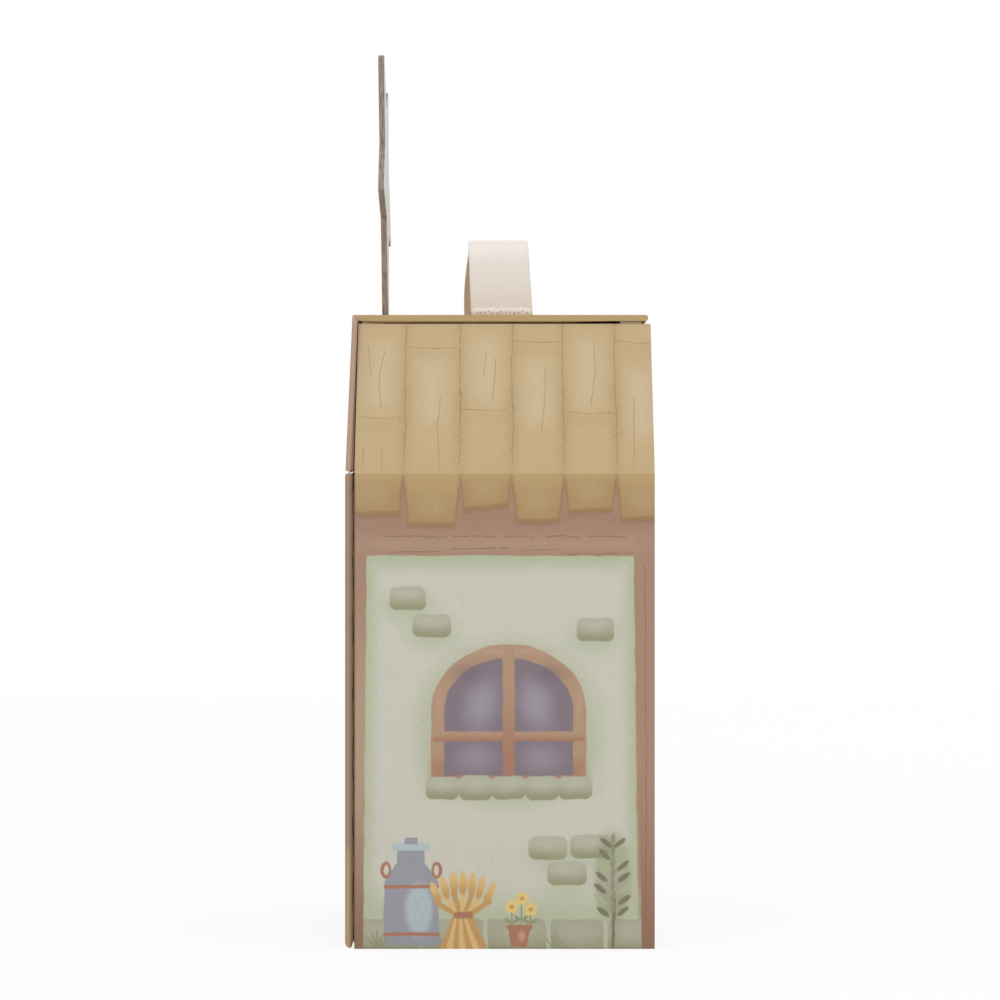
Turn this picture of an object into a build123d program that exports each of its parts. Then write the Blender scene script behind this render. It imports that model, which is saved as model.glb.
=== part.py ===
from build123d import *
import os
from math import atan2, cos, radians, sin, tan

# A boxed nativity set: a stable-shaped carry case of wrapped card, with wooden figures inside.
# +Z is up, the front of the case faces -Y, and the origin is the middle of the footprint on the
# table. All sizes are in millimetres.

# Case
case_width = 220.0
case_depth = 129.0
eave_height = 198.0
roof_rise = 64.5
roof_run = 54.0
wall_board = 2.5
base_board_thickness = 2.5
edge_round = 0.8

# Front covers
door_board = 2.5
door_gap = 1.3
door_floor_gap = 0.4
door_foot_round = 2.2
door_top_round = 1.0
seam_gap = 1.1
flap_board = 2.3
flap_lean = 1.0
flap_setback = 1.3
mitre_gap = 0.1

# Lid
lid_board = 2.6
lid_gap = 1.2
lid_rear_setback = 1.0
lid_nose_round = 1.2

# Strips glued inside the front opening and under the lid
frame_width = 12.0
frame_board = 2.5
ledge_width = 10.0
ledge_board = 2.5
stop_length = 9.0
stop_thickness = 1.0
stop_inset = 1.5

# Paper hinge leaves
leaf_thickness = 0.6
leaf_width = 18.0
leaf_side_inset = 8.0

# Magnets
magnet_diameter = 8.0
magnet_thickness = 1.0
magnet_clearance = 0.1
door_magnet_drop = 12.0
flap_magnet_rise = 15.0

# Carry handle of woven webbing
strap_width = 25.0
strap_thickness = 1.6
strap_side_inset = 21.0
strap_rise = 34.0
strap_shoulder = 13.0
strap_shoulder_radius = 11.0
strap_shoulder_lean = 1.0
strap_fold_radius = 1.4
strap_tail = 23.0
strap_offset = -1.1
strap_slot_clearance = 0.6
strap_skew = 1.5
patch_thickness = 1.2
patch_end_margin = 5.0
patch_side_margin = 8.5

# Star
star_radius = 61.4
star_waist_radius = 27.7
star_tip_round = 3.0
star_turn = 26.0
star_points = 5
star_core_thickness = 2.4
star_paper = 0.2
star_lean = 0.8
star_setback = 14.4
star_height_over_lid = 63.2
stem_width = 14.0
stem_below_lid = 12.0
slot_clearance = 0.4

# Wooden figures, sawn from one plank
figure_thickness = 14.0
figure_edge_round = 1.2
figure_corner_round = 1.4

# Where the figures stand: rows counted from the rear wall, and places from the case's middle or side
row_wall_gap = 4.0
row_pitch = 21.0
figure_side_gap = 0.6
couple_spread = 36.0
rear_pair_spread = 20.0
outer_pair_side_inset = 51.0
manger_from_rear_row = 69.0
sheep_a_from_rear_row = 57.0
sheep_b_from_rear_row = 61.0
sheep_a_side_inset = 29.5
sheep_b_side_inset = 29.5

# People: height and width at the foot
father_height = 104.0
father_foot = 34.0
mother_height = 92.0
mother_foot = 36.0
shepherd_height = 106.0
shepherd_foot = 32.0
king_a_height = 108.0
king_b_height = 114.0
king_c_height = 110.0
king_foot = 33.0
head_radius = 8.5
neck_width = 12.5
neck_drop = 19.0
neck_overlap = 3.0
shoulder_width = 23.0
crown_height = 9.0
crown_width = 17.0
crown_foot_inset = 2.0
crown_sink = 3.0
crown_notch = 4.0
crown_middle_rise = 1.0
hood_board = 1.0
hood_drop = 6.0

# Manger and infant
manger_length = 42.0
manger_height = 25.0
manger_depth = 18.0
manger_bed_height = 19.0
manger_belly_height = 9.0
manger_belly_inset = 7.0
manger_rim = 5.0
manger_rim_slope = 1.0
manger_leg_inset = 3.0
manger_leg_width = 8.0
manger_leg_splay = 5.0
manger_leg_overlap = 2.0
manger_leg_top_width = 9.0
infant_length = 27.0
infant_height = 11.0
infant_depth = 10.0
infant_wrap_shortfall = 6.0
infant_wrap_round = 4.0
infant_head_inset = 6.0

# Ox
ox_length = 48.0
ox_body = 27.0
ox_leg = 21.0
ox_leg_width = 10.0
ox_leg_inset = 8.0
ox_head_length = 20.0
ox_head_height = 17.0
ox_head_round = 6.0
ox_head_forward = 5.0
ox_head_rise = 6.0
horn_foot = 8.0
horn_tip = 4.0
horn_height = 13.0
horn_back = 1.0
horn_sink = 2.0

# Donkey
donkey_length = 42.0
donkey_body = 23.0
donkey_leg = 26.0
donkey_leg_width = 9.0
donkey_leg_inset = 7.0
donkey_neck_foot = 15.0
donkey_neck_top = 12.0
donkey_neck_rise = 24.0
donkey_neck_lean = 9.0
donkey_neck_drop = 2.0
donkey_neck_back_rise = 4.0
donkey_neck_set_back = 1.0
donkey_head_length = 21.0
donkey_head_height = 12.0
donkey_head_round = 5.0
donkey_head_turn = 35.0
donkey_head_forward = 5.0
donkey_head_rise = 22.0
ear_height = 18.0
ear_foot = 7.0
ear_tip = 6.0
ear_lean = 4.0
ear_back = 3.0

# Sheep
sheep_a_length = 30.0
sheep_a_body = 18.0
sheep_a_leg = 9.0
sheep_b_length = 27.0
sheep_b_body = 16.0
sheep_b_leg = 8.0
sheep_leg_width = 7.0
sheep_leg_inset = 6.0
sheep_head_length = 14.0
sheep_head_height = 12.0
sheep_head_round = 4.0
sheep_head_forward = 3.0
sheep_head_rise = 5.0
sheep_leg_overlap = 6.0
lobe_spread_share = 1 / 3
lobe_rise_share = 1 / 3
lobe_radius_share = 1 / 5

# All the animals: how far the legs reach up into the body, and its corner radius over its height
leg_overlap = 8.0
body_round_share = 1 / 3

# How near to a plane an edge must lie to count as on it
plane_tolerance = 0.01

# Values that follow from the driving sizes
half_width = case_width / 2
front_face = -case_depth / 2
rear_face = case_depth / 2
wall_front = front_face + door_board + door_gap
roof_angle = atan2(roof_rise, roof_run)
slope_top = eave_height + roof_rise
slope_top_x = half_width - roof_run
wall_inner_x = half_width - wall_board
slope_inner_x = slope_top_x - wall_board / sin(roof_angle)
eave_inner_z = slope_top - (wall_inner_x - slope_inner_x) * tan(roof_angle)
rear_wall_front = rear_face - wall_board
lid_bottom = slope_top + lid_gap
lid_top = lid_bottom + lid_board
lid_front = front_face + flap_setback
lid_rear = rear_face - lid_rear_setback
star_y = front_face + star_setback
star_z = lid_top + star_height_over_lid
star_thickness = star_core_thickness + 2 * star_paper
strap_leg_x = slope_top_x - strap_side_inset
floor_z = base_board_thickness
rear_row_y = rear_wall_front - row_wall_gap - figure_thickness / 2
middle_row_y = rear_row_y - row_pitch
front_row_y = middle_row_y - row_pitch
manger_y = rear_row_y - manger_from_rear_row
outer_pair_x = wall_inner_x - outer_pair_side_inset
ox_reach = ox_length / 2 + ox_head_forward + ox_head_length / 2
ox_x = wall_inner_x - figure_side_gap - ox_reach
donkey_reach = donkey_length / 2 + donkey_head_forward + donkey_head_length / 2
donkey_x = donkey_reach + figure_side_gap - wall_inner_x


def slab(profile, y_front, y_back):
    """A profile drawn in X and Z, made solid between two depths."""
    return extrude(Plane.XZ.offset(-y_back) * profile, y_back - y_front)


def bar(profile, x_left, x_right):
    """A profile drawn in Y and Z, made solid between two widths."""
    return extrude(Plane.YZ.offset(x_left) * profile, x_right - x_left)


def block(x_range, y_range, z_range):
    """A box between three pairs of limits."""
    size = [high - low for low, high in (x_range, y_range, z_range)]
    middle = [(low + high) / 2 for low, high in (x_range, y_range, z_range)]
    return Pos(*middle) * Box(*size)


def outline(*points):
    """A closed outline through the points as they are given."""
    return make_face(Polyline(*points, close=True))


def mirrored(shape):
    """The same piece on the other side of the case."""
    return mirror(shape, about=Plane.YZ)


def slope_x(height):
    """Where the inner face of the right roof slope lies at a height."""
    return slope_inner_x + (slope_top - height) / tan(roof_angle)


def outer_edges(shape, axis, position, direction):
    """The edges that lie on one outer plane of a piece and run in one direction."""
    low = position - plane_tolerance
    high = position + plane_tolerance
    return shape.edges().filter_by_position(axis, low, high).filter_by(direction)


# The case


def side_wall():
    """The right wall, cut to a mitre at the eave."""
    profile = outline(
        (half_width, 0),
        (half_width, eave_height),
        (wall_inner_x, eave_inner_z),
        (wall_inner_x, 0),
    )
    wall = slab(profile, wall_front, rear_face)
    return fillet(outer_edges(wall, Axis.X, half_width, Axis.Z), edge_round)


def roof_slope():
    """The right roof slope, from the mitre at the eave to the open top."""
    profile = outline(
        (half_width, eave_height),
        (slope_top_x, slope_top),
        (slope_inner_x, slope_top),
        (wall_inner_x, eave_inner_z),
    )
    slope = slab(profile, wall_front, rear_face)
    outer_face = slope.faces().sort_by(Axis.X)[-1]
    ends = outer_face.edges().filter_by(Axis.Y, reverse=True)
    return fillet(ends, edge_round)


def rear_wall():
    """The rear gable wall, which fits between the side walls and the slopes."""
    profile = outline(
        (-wall_inner_x, 0),
        (wall_inner_x, 0),
        (wall_inner_x, eave_inner_z),
        (slope_inner_x, slope_top),
        (-slope_inner_x, slope_top),
        (-wall_inner_x, eave_inner_z),
    )
    return slab(profile, rear_wall_front, rear_face)


def base_board():
    """The floor of the case."""
    return block((-wall_inner_x, wall_inner_x), (wall_front, rear_wall_front), (0, floor_z))


def magnet_places():
    """The middles of the right-hand magnets of the door and of the flap, in X and Z."""
    door_place = (wall_inner_x - frame_width / 2, eave_height - door_magnet_drop)
    flap_z = eave_height + flap_magnet_rise
    flap_place = (slope_x(flap_z) - frame_width / 2 / sin(roof_angle), flap_z)
    return door_place, flap_place


def disc(place, y_front, y_back, diameter):
    """A short round piece or hole, lying along Y."""
    return slab(Pos(*place) * Circle(diameter / 2), y_front, y_back)


def pocket(place, y_front, y_back):
    """The round recess that a magnet is glued into."""
    return disc(place, y_front, y_back, magnet_diameter + 2 * magnet_clearance)


def front_frame():
    """The upright strip inside the right edge of the front opening."""
    strip = block(
        (wall_inner_x - frame_width, wall_inner_x),
        (wall_front, wall_front + frame_board),
        (floor_z, eave_inner_z),
    )
    place = magnet_places()[0]
    return strip - pocket(place, wall_front, wall_front + magnet_thickness + magnet_clearance)


def gable_frame():
    """The slanted strip inside the right roof slope, at the front."""
    across = frame_width / sin(roof_angle)
    low = eave_inner_z
    high = slope_top - ledge_board
    profile = outline(
        (slope_x(low), low),
        (slope_x(high), high),
        (slope_x(high) - across, high),
        (slope_x(low) - across, low),
    )
    strip = slab(profile, wall_front, wall_front + frame_board)
    place = magnet_places()[1]
    return strip - pocket(place, wall_front, wall_front + magnet_thickness + magnet_clearance)


def frame_magnets():
    """The four disc magnets in the strips of the front opening."""
    discs = []
    for place in magnet_places():
        magnet = disc(place, wall_front, wall_front + magnet_thickness, magnet_diameter)
        discs += [magnet, mirrored(magnet)]
    return Compound(children=discs)


def lid_ledge():
    """The strip turned in along the top of the right roof slope."""
    profile = outline(
        (slope_inner_x, slope_top),
        (slope_x(slope_top - ledge_board), slope_top - ledge_board),
        (slope_inner_x - ledge_width, slope_top - ledge_board),
        (slope_inner_x - ledge_width, slope_top),
    )
    return slab(profile, wall_front, rear_wall_front)


def lid_stops():
    """Four small card pads on the ledges, which the lid comes down on."""
    x_range = (slope_inner_x - ledge_width + stop_inset, slope_top_x - stop_inset)
    z_range = (slope_top, slope_top + stop_thickness)
    front_y = wall_front + stop_inset
    rear_y = rear_wall_front - stop_inset
    pads = []
    for y_range in ((front_y, front_y + stop_length), (rear_y - stop_length, rear_y)):
        pad = block(x_range, y_range, z_range)
        pads += [pad, mirrored(pad)]
    return Compound(children=pads)


def base_hinge_leaf():
    """The paper leaf on the floor of the case that the door folds from."""
    reach = wall_inner_x - frame_width - leaf_side_inset
    return block(
        (-reach, reach),
        (wall_front, wall_front + leaf_width),
        (floor_z, floor_z + leaf_thickness),
    )


def rear_hinge_leaf():
    """The paper leaf inside the rear wall that the lid folds from."""
    reach = slope_inner_x - ledge_width - stop_inset
    return block(
        (-reach, reach),
        (rear_wall_front - leaf_thickness, rear_wall_front),
        (slope_top - leaf_width, slope_top),
    )


# The front door


def front_door():
    """The lower front cover, which folds down on its bottom edge."""
    door_back = front_face + door_board
    panel = block(
        (-half_width, half_width), (front_face, door_back), (door_floor_gap, eave_height)
    )
    outer = outer_edges(panel, Axis.Y, front_face, Axis.X)
    panel = fillet(outer.sort_by(Axis.Z)[0], door_foot_round)
    panel = fillet(outer_edges(panel, Axis.Y, front_face, Axis.X)[-1:], door_top_round)
    place = magnet_places()[0]
    hole = pocket(place, door_back - magnet_thickness - magnet_clearance, door_back)
    return panel - hole - mirrored(hole)


def door_magnets():
    """The two disc magnets in the door."""
    door_back = front_face + door_board
    magnet = disc(magnet_places()[0], door_back - magnet_thickness, door_back, magnet_diameter)
    return Compound(children=[magnet, mirrored(magnet)])


def door_hinge_leaf():
    """The paper leaf on the inner face of the door, along its fold."""
    reach = wall_inner_x - frame_width - leaf_side_inset
    door_back = front_face + door_board
    return block(
        (-reach, reach),
        (door_back, door_back + leaf_thickness),
        (door_floor_gap + edge_round, leaf_width),
    )


# The gable flap


def lean_flap(shape):
    """Lean a piece of the gable flap out about its fold, as the flap hangs."""
    fold = Axis((0, lid_front, lid_top), (1, 0, 0))
    return shape.rotate(fold, -flap_lean)


def gable_flap():
    """The upper front cover, which hangs from the front edge of the lid."""
    low = eave_height + seam_gap
    profile = outline(
        (-half_width, low),
        (half_width, low),
        (slope_top_x, lid_top),
        (-slope_top_x, lid_top),
    )
    panel = slab(profile, lid_front, lid_front + flap_board)
    place = magnet_places()[1]
    flap_back = lid_front + flap_board
    hole = pocket(place, flap_back - magnet_thickness - magnet_clearance, flap_back)
    corner = outline(
        (lid_front, lid_top - mitre_gap),
        (flap_back, lid_bottom - mitre_gap),
        (flap_back, lid_top + lid_board),
        (lid_front, lid_top + lid_board),
    )
    panel = panel - bar(corner, -case_width, case_width) - hole - mirrored(hole)
    return lean_flap(panel)


def flap_magnets():
    """The two disc magnets in the gable flap."""
    flap_back = lid_front + flap_board
    magnet = disc(magnet_places()[1], flap_back - magnet_thickness, flap_back, magnet_diameter)
    return lean_flap(Compound(children=[magnet, mirrored(magnet)]))


# The lid


def star_slot():
    """The slot in the lid that the stem of the star passes through."""
    depth = star_thickness + 2 * slot_clearance
    middle = star_radius * sin(radians(stem_direction()))
    width = stem_width + 2 * slot_clearance
    return block(
        (middle - width / 2, middle + width / 2),
        (star_y - depth / 2, star_y + depth / 2),
        (lid_bottom - lid_board, lid_top + lid_board),
    )


def strap_slot():
    """The right-hand slot in the lid that the webbing passes through."""
    reach = strap_thickness / 2 + strap_slot_clearance
    length = strap_width / 2 + strap_skew + strap_slot_clearance
    return block(
        (strap_leg_x - reach, strap_leg_x + reach),
        (strap_offset - length, strap_offset + length),
        (lid_bottom - lid_board, lid_top + lid_board),
    )


def top_board():
    """The flat board of the lid, with a mitred front and a rounded rear edge."""
    profile = outline(
        (lid_front + mitre_gap, lid_top),
        (lid_rear, lid_top),
        (lid_rear, lid_bottom),
        (lid_front + flap_board + mitre_gap, lid_bottom),
    )
    board = bar(profile, -slope_top_x, slope_top_x)
    nose = outer_edges(board, Axis.Y, lid_rear, Axis.X)
    board = fillet(nose, lid_nose_round)
    return board - star_slot() - strap_slot() - mirrored(strap_slot())


def lid_hinge_leaf():
    """The paper leaf under the lid, along its rear fold."""
    reach = slope_inner_x - ledge_width - stop_inset
    back = rear_wall_front - leaf_thickness
    return block(
        (-reach, reach), (back - leaf_width, back), (lid_bottom - leaf_thickness, lid_bottom)
    )


def carry_handle():
    """The webbing: a loop over the lid, with its two tails laid flat under it."""
    tail_z = lid_bottom - strap_thickness / 2
    top_z = lid_top + strap_rise - strap_thickness / 2
    right = [
        (strap_leg_x - strap_tail, tail_z),
        (strap_leg_x, tail_z),
        (strap_leg_x - strap_shoulder_lean, top_z - strap_shoulder),
        (strap_leg_x - strap_shoulder, top_z),
    ]
    left = [(-x, z) for x, z in reversed(right)]
    radii = [strap_fold_radius, strap_shoulder_radius, strap_shoulder_radius]
    path = FilletPolyline(*right, *left, radius=radii + radii[::-1])
    band = trace(path, line_width=strap_thickness)
    return slab(band, strap_offset - strap_width / 2, strap_offset + strap_width / 2)


def handle_patch():
    """The card patch that is glued over the tails of the webbing."""
    top = lid_bottom - strap_thickness
    reach = strap_leg_x + patch_end_margin
    half = strap_width / 2 + patch_side_margin
    return block(
        (-reach, reach),
        (strap_offset - half, strap_offset + half),
        (top - patch_thickness, top),
    )


# The star


def stem_direction():
    """The angle of the point that turns into the stem, from straight up towards +X."""
    step = 360 / star_points
    return min((star_turn + step * k for k in range(star_points)), key=lambda a: abs(a - 180))


def star_profile():
    """A star with rounded points, with its lowest point carried on down as a stem."""
    corners = []
    for k in range(2 * star_points):
        angle = radians(star_turn + 180 / star_points * k)
        radius = star_waist_radius if k % 2 else star_radius
        corners.append((radius * sin(angle), star_z + radius * cos(angle)))
    star = outline(*corners)
    between = (star_radius + star_waist_radius) / 2
    tips = [tip for tip in star.vertices() if Vector(tip.X, tip.Y - star_z).length > between]
    star = fillet(tips, star_tip_round)
    middle = star_radius * sin(radians(stem_direction()))
    stem_low = lid_top - stem_below_lid
    stem_high = star_z - star_waist_radius
    stem = outline(
        (middle - stem_width / 2, stem_low),
        (middle + stem_width / 2, stem_low),
        (middle + stem_width / 2, stem_high),
        (middle - stem_width / 2, stem_high),
    )
    return star + stem


def star_layer(low, high):
    """One layer of the star between two depths from its middle plane, leaning as it stands."""
    layer = slab(star_profile(), star_y + low, star_y + high)
    return layer.rotate(Axis((0, star_y, lid_top), (1, 0, 0)), star_lean)


def star_layers():
    """The board of the star and the printed papers on its two faces."""
    core = star_core_thickness / 2
    return {
        "star_core": star_layer(-core, core),
        "star_front_paper": star_layer(-core - star_paper, -core),
        "star_back_paper": star_layer(core, core + star_paper),
    }


# The wooden figures


def carved(profile, middle_x, middle_y, thickness=figure_thickness, stand_z=floor_z):
    """A figure sawn from a plank: the outline with eased corners, and rounded along both faces."""
    eased = offset(offset(profile, -figure_corner_round), 2 * figure_corner_round)
    eased = offset(eased, -figure_corner_round)
    body = slab(Pos(middle_x, stand_z) * eased, middle_y - thickness / 2, middle_y + thickness / 2)
    rims = body.faces().filter_by(Axis.Y).edges()
    return fillet(rims, figure_edge_round)


def crowned_head(height, shoulder_z):
    """A neck, a head and a crown with three points."""
    brow = height - crown_height
    foot = brow - crown_sink
    head = Pos(0, foot - head_radius + 2 * crown_sink) * Circle(head_radius)
    neck_top = foot - head_radius
    neck_foot = shoulder_z - neck_overlap
    neck = Pos(0, (neck_top + neck_foot) / 2) * Rectangle(neck_width, neck_top - neck_foot)
    half = crown_width / 2
    crown = outline(
        (-half + crown_foot_inset, foot),
        (half - crown_foot_inset, foot),
        (half, height),
        (half / 2, height - crown_notch),
        (0, height + crown_middle_rise),
        (-half / 2, height - crown_notch),
        (-half, height),
    )
    return neck + head + crown


def hooded_head(height, shoulder_z):
    """A head under a hood that falls over the shoulders."""
    cap_radius = head_radius + hood_board
    cap_z = height - cap_radius
    drape_z = shoulder_z - hood_drop
    drape = outline(
        (-shoulder_width / 2, drape_z),
        (shoulder_width / 2, drape_z),
        (cap_radius, cap_z),
        (-cap_radius, cap_z),
    )
    return drape + Pos(0, cap_z) * Circle(cap_radius)


def bare_head(height, shoulder_z):
    """A neck and an uncovered head."""
    neck_foot = shoulder_z - neck_overlap
    neck_top = height - head_radius
    neck = Pos(0, (neck_top + neck_foot) / 2) * Rectangle(neck_width, neck_top - neck_foot)
    return neck + Pos(0, neck_top) * Circle(head_radius)


def person(height, foot_width, head_shape):
    """A standing person: a robe that narrows to the shoulders, and a head of the given shape."""
    shoulder_z = height - neck_drop
    robe = outline(
        (-foot_width / 2, 0),
        (foot_width / 2, 0),
        (shoulder_width / 2, shoulder_z),
        (-shoulder_width / 2, shoulder_z),
    )
    return robe + head_shape(height, shoulder_z)


def pair_of_legs(body_length, leg_height, leg_width, leg_inset, overlap):
    """The front and rear leg of an animal, reaching up into its body."""
    tall = leg_height + overlap
    leg = Pos(0, tall / 2) * Rectangle(leg_width, tall)
    out = body_length / 2 - leg_inset
    return Pos(-out, 0) * leg + Pos(out, 0) * leg


def ox_profile():
    """An ox from the side, facing +X."""
    middle_z = ox_leg + ox_body / 2
    body = Pos(0, middle_z) * RectangleRounded(ox_length, ox_body, ox_body * body_round_share)
    legs = pair_of_legs(ox_length, ox_leg, ox_leg_width, ox_leg_inset, leg_overlap)
    head_x = ox_length / 2 + ox_head_forward
    head_z = middle_z + ox_head_rise
    head = Pos(head_x, head_z) * RectangleRounded(ox_head_length, ox_head_height, ox_head_round)
    poll_z = head_z + ox_head_height / 2
    horn_x = ox_length / 2 - horn_back
    horn = outline(
        (horn_x, poll_z - 2 * horn_sink),
        (horn_x + horn_foot, poll_z - horn_sink),
        (horn_x + horn_foot - horn_sink, poll_z - 2 * horn_sink + horn_height),
        (horn_x + horn_foot - horn_sink - horn_tip, poll_z - 2 * horn_sink + horn_height),
    )
    return body + legs + head + horn


def donkey_profile():
    """A donkey from the side, facing -X."""
    middle_z = donkey_leg + donkey_body / 2
    front = -donkey_length / 2
    body_round = donkey_body * body_round_share
    body = Pos(0, middle_z) * RectangleRounded(donkey_length, donkey_body, body_round)
    legs = pair_of_legs(donkey_length, donkey_leg, donkey_leg_width, donkey_leg_inset, leg_overlap)
    neck_x = front + donkey_neck_set_back
    neck_top_x = neck_x - donkey_neck_lean
    neck = outline(
        (neck_x, middle_z - donkey_neck_drop),
        (neck_x + donkey_neck_foot, middle_z + donkey_neck_back_rise),
        (neck_top_x + donkey_neck_top, middle_z + donkey_neck_rise + donkey_neck_drop),
        (neck_top_x, middle_z + donkey_neck_rise - donkey_neck_drop),
    )
    head_place = Pos(front - donkey_head_forward, middle_z + donkey_head_rise)
    head_shape = RectangleRounded(donkey_head_length, donkey_head_height, donkey_head_round)
    head = head_place * Rot(0, 0, donkey_head_turn) * head_shape
    ear_z = middle_z + donkey_head_rise
    ear_x = front - ear_back
    ear = outline(
        (ear_x, ear_z),
        (ear_x + ear_foot, ear_z),
        (ear_x + ear_lean + ear_tip, ear_z + ear_height),
        (ear_x + ear_lean, ear_z + ear_height),
    )
    return body + legs + neck + head + ear


def sheep_profile(body_length, body_height, leg_height, facing):
    """A sheep from the side, with a woolly back of round lobes; facing is 1 for +X, -1 for -X."""
    middle_z = leg_height + body_height / 2
    body_round = body_height * body_round_share
    shape = Pos(0, middle_z) * RectangleRounded(body_length, body_height, body_round)
    spread = body_length * lobe_spread_share
    lobe_z = middle_z + body_height * lobe_rise_share
    for lobe_x in (-spread, 0, spread):
        shape = shape + Pos(lobe_x, lobe_z) * Circle(body_length * lobe_radius_share)
    legs = pair_of_legs(
        body_length, leg_height, sheep_leg_width, sheep_leg_inset, sheep_leg_overlap
    )
    head_place = Pos(facing * (body_length / 2 + sheep_head_forward), middle_z + sheep_head_rise)
    head = RectangleRounded(sheep_head_length, sheep_head_height, sheep_head_round)
    return shape + legs + head_place * head


def manger_profile():
    """A small trough on splayed legs, with raised ends."""
    half = manger_length / 2
    belly = half - manger_belly_inset
    bed = half - manger_rim - manger_rim_slope
    shape = outline(
        (-belly, manger_belly_height),
        (belly, manger_belly_height),
        (half, manger_height),
        (half - manger_rim, manger_height),
        (bed, manger_bed_height),
        (-bed, manger_bed_height),
        (manger_rim - half, manger_height),
        (-half, manger_height),
    )
    foot = half - manger_leg_inset
    leg_top = manger_belly_height + manger_leg_overlap
    for side in (-1, 1):
        leg = outline(
            (side * foot, 0),
            (side * (foot - manger_leg_width), 0),
            (side * (foot - manger_leg_splay - manger_leg_top_width), leg_top),
            (side * (foot - manger_leg_splay), leg_top),
        )
        shape = shape + leg
    return shape


def infant_profile():
    """A wrapped infant lying down, head towards -X."""
    wrap_length = infant_length - infant_wrap_shortfall
    wrap_place = Pos(infant_wrap_shortfall / 2, infant_height / 2)
    wrap = wrap_place * RectangleRounded(wrap_length, infant_height, infant_wrap_round)
    head_place = Pos(infant_head_inset - infant_length / 2, infant_height / 2)
    return wrap + head_place * Circle(infant_height / 2)


def people():
    """The standing people, each in its place."""
    father = person(father_height, father_foot, bare_head)
    mother = person(mother_height, mother_foot, hooded_head)
    shepherd = person(shepherd_height, shepherd_foot, hooded_head)
    king_a = person(king_a_height, king_foot, crowned_head)
    king_b = person(king_b_height, king_foot, crowned_head)
    king_c = person(king_c_height, king_foot, crowned_head)
    return {
        "father_figure": carved(father, -couple_spread, front_row_y),
        "mother_figure": carved(mother, couple_spread, front_row_y),
        "shepherd_figure": carved(shepherd, -rear_pair_spread, rear_row_y),
        "king_a_figure": carved(king_a, -outer_pair_x, middle_row_y),
        "king_b_figure": carved(king_b, rear_pair_spread, rear_row_y),
        "king_c_figure": carved(king_c, outer_pair_x, middle_row_y),
    }


def animals():
    """The ox, the donkey and the two sheep, each in its place."""
    sheep_a = sheep_profile(sheep_a_length, sheep_a_body, sheep_a_leg, 1)
    sheep_b = sheep_profile(sheep_b_length, sheep_b_body, sheep_b_leg, -1)
    sheep_a_x = sheep_a_side_inset - wall_inner_x
    sheep_b_x = wall_inner_x - sheep_b_side_inset
    return {
        "ox": carved(ox_profile(), ox_x, rear_row_y),
        "donkey": carved(donkey_profile(), donkey_x, rear_row_y),
        "sheep_a": carved(sheep_a, sheep_a_x, rear_row_y - sheep_a_from_rear_row),
        "sheep_b": carved(sheep_b, sheep_b_x, rear_row_y - sheep_b_from_rear_row),
    }


def manger_and_infant():
    """The manger in the middle of the floor, with the infant lying in it."""
    bed_z = floor_z + manger_bed_height
    return {
        "manger": carved(manger_profile(), 0, manger_y, manger_depth),
        "infant": carved(infant_profile(), 0, manger_y, infant_depth, bed_z),
    }


def assembly():
    """Every piece of the set, by name."""
    pieces = {
        "base_board": base_board(),
        "rear_wall": rear_wall(),
        "frame_magnets": frame_magnets(),
        "lid_stops": lid_stops(),
        "base_hinge_leaf": base_hinge_leaf(),
        "rear_hinge_leaf": rear_hinge_leaf(),
        "front_door": front_door(),
        "door_magnets": door_magnets(),
        "door_hinge_leaf": door_hinge_leaf(),
        "gable_flap": gable_flap(),
        "flap_magnets": flap_magnets(),
        "top_board": top_board(),
        "lid_hinge_leaf": lid_hinge_leaf(),
        "carry_handle": carry_handle(),
        "handle_patch": handle_patch(),
    }
    pairs = {
        "side_wall": side_wall(),
        "roof_slope": roof_slope(),
        "front_frame": front_frame(),
        "gable_frame": gable_frame(),
        "lid_ledge": lid_ledge(),
    }
    for name, shape in pairs.items():
        pieces[name + "_right"] = shape
        pieces[name + "_left"] = mirrored(shape)
    pieces.update(star_layers())
    pieces.update(people())
    pieces.update(animals())
    pieces.update(manger_and_infant())
    return pieces


os.makedirs("parts", exist_ok=True)
for node, solid in assembly().items():
    export_step(solid, f"parts/{node}.step")
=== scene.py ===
from math import cos, hypot, pi, radians, sin, tan

import bpy
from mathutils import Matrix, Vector


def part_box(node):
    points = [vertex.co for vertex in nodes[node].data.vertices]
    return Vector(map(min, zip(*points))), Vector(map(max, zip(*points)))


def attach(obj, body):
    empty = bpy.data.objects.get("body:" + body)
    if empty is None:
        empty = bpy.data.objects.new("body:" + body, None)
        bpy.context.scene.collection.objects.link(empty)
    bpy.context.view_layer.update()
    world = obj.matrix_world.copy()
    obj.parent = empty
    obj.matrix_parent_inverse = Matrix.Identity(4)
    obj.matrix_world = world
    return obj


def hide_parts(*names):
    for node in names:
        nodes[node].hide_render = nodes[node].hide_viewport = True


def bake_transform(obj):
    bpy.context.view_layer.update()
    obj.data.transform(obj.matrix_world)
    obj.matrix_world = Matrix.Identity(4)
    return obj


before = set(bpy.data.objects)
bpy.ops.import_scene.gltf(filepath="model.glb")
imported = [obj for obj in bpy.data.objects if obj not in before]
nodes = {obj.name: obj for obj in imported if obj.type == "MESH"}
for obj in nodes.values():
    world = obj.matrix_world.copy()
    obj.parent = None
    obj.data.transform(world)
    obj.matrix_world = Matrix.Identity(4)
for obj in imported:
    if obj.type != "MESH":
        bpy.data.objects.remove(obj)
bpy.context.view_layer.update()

# Camera: level, square to the near side of the case, as far off as the photograph's perspective
camera_distance = 2.010
camera_height = 0.187
camera_lens = 164.2

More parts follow.
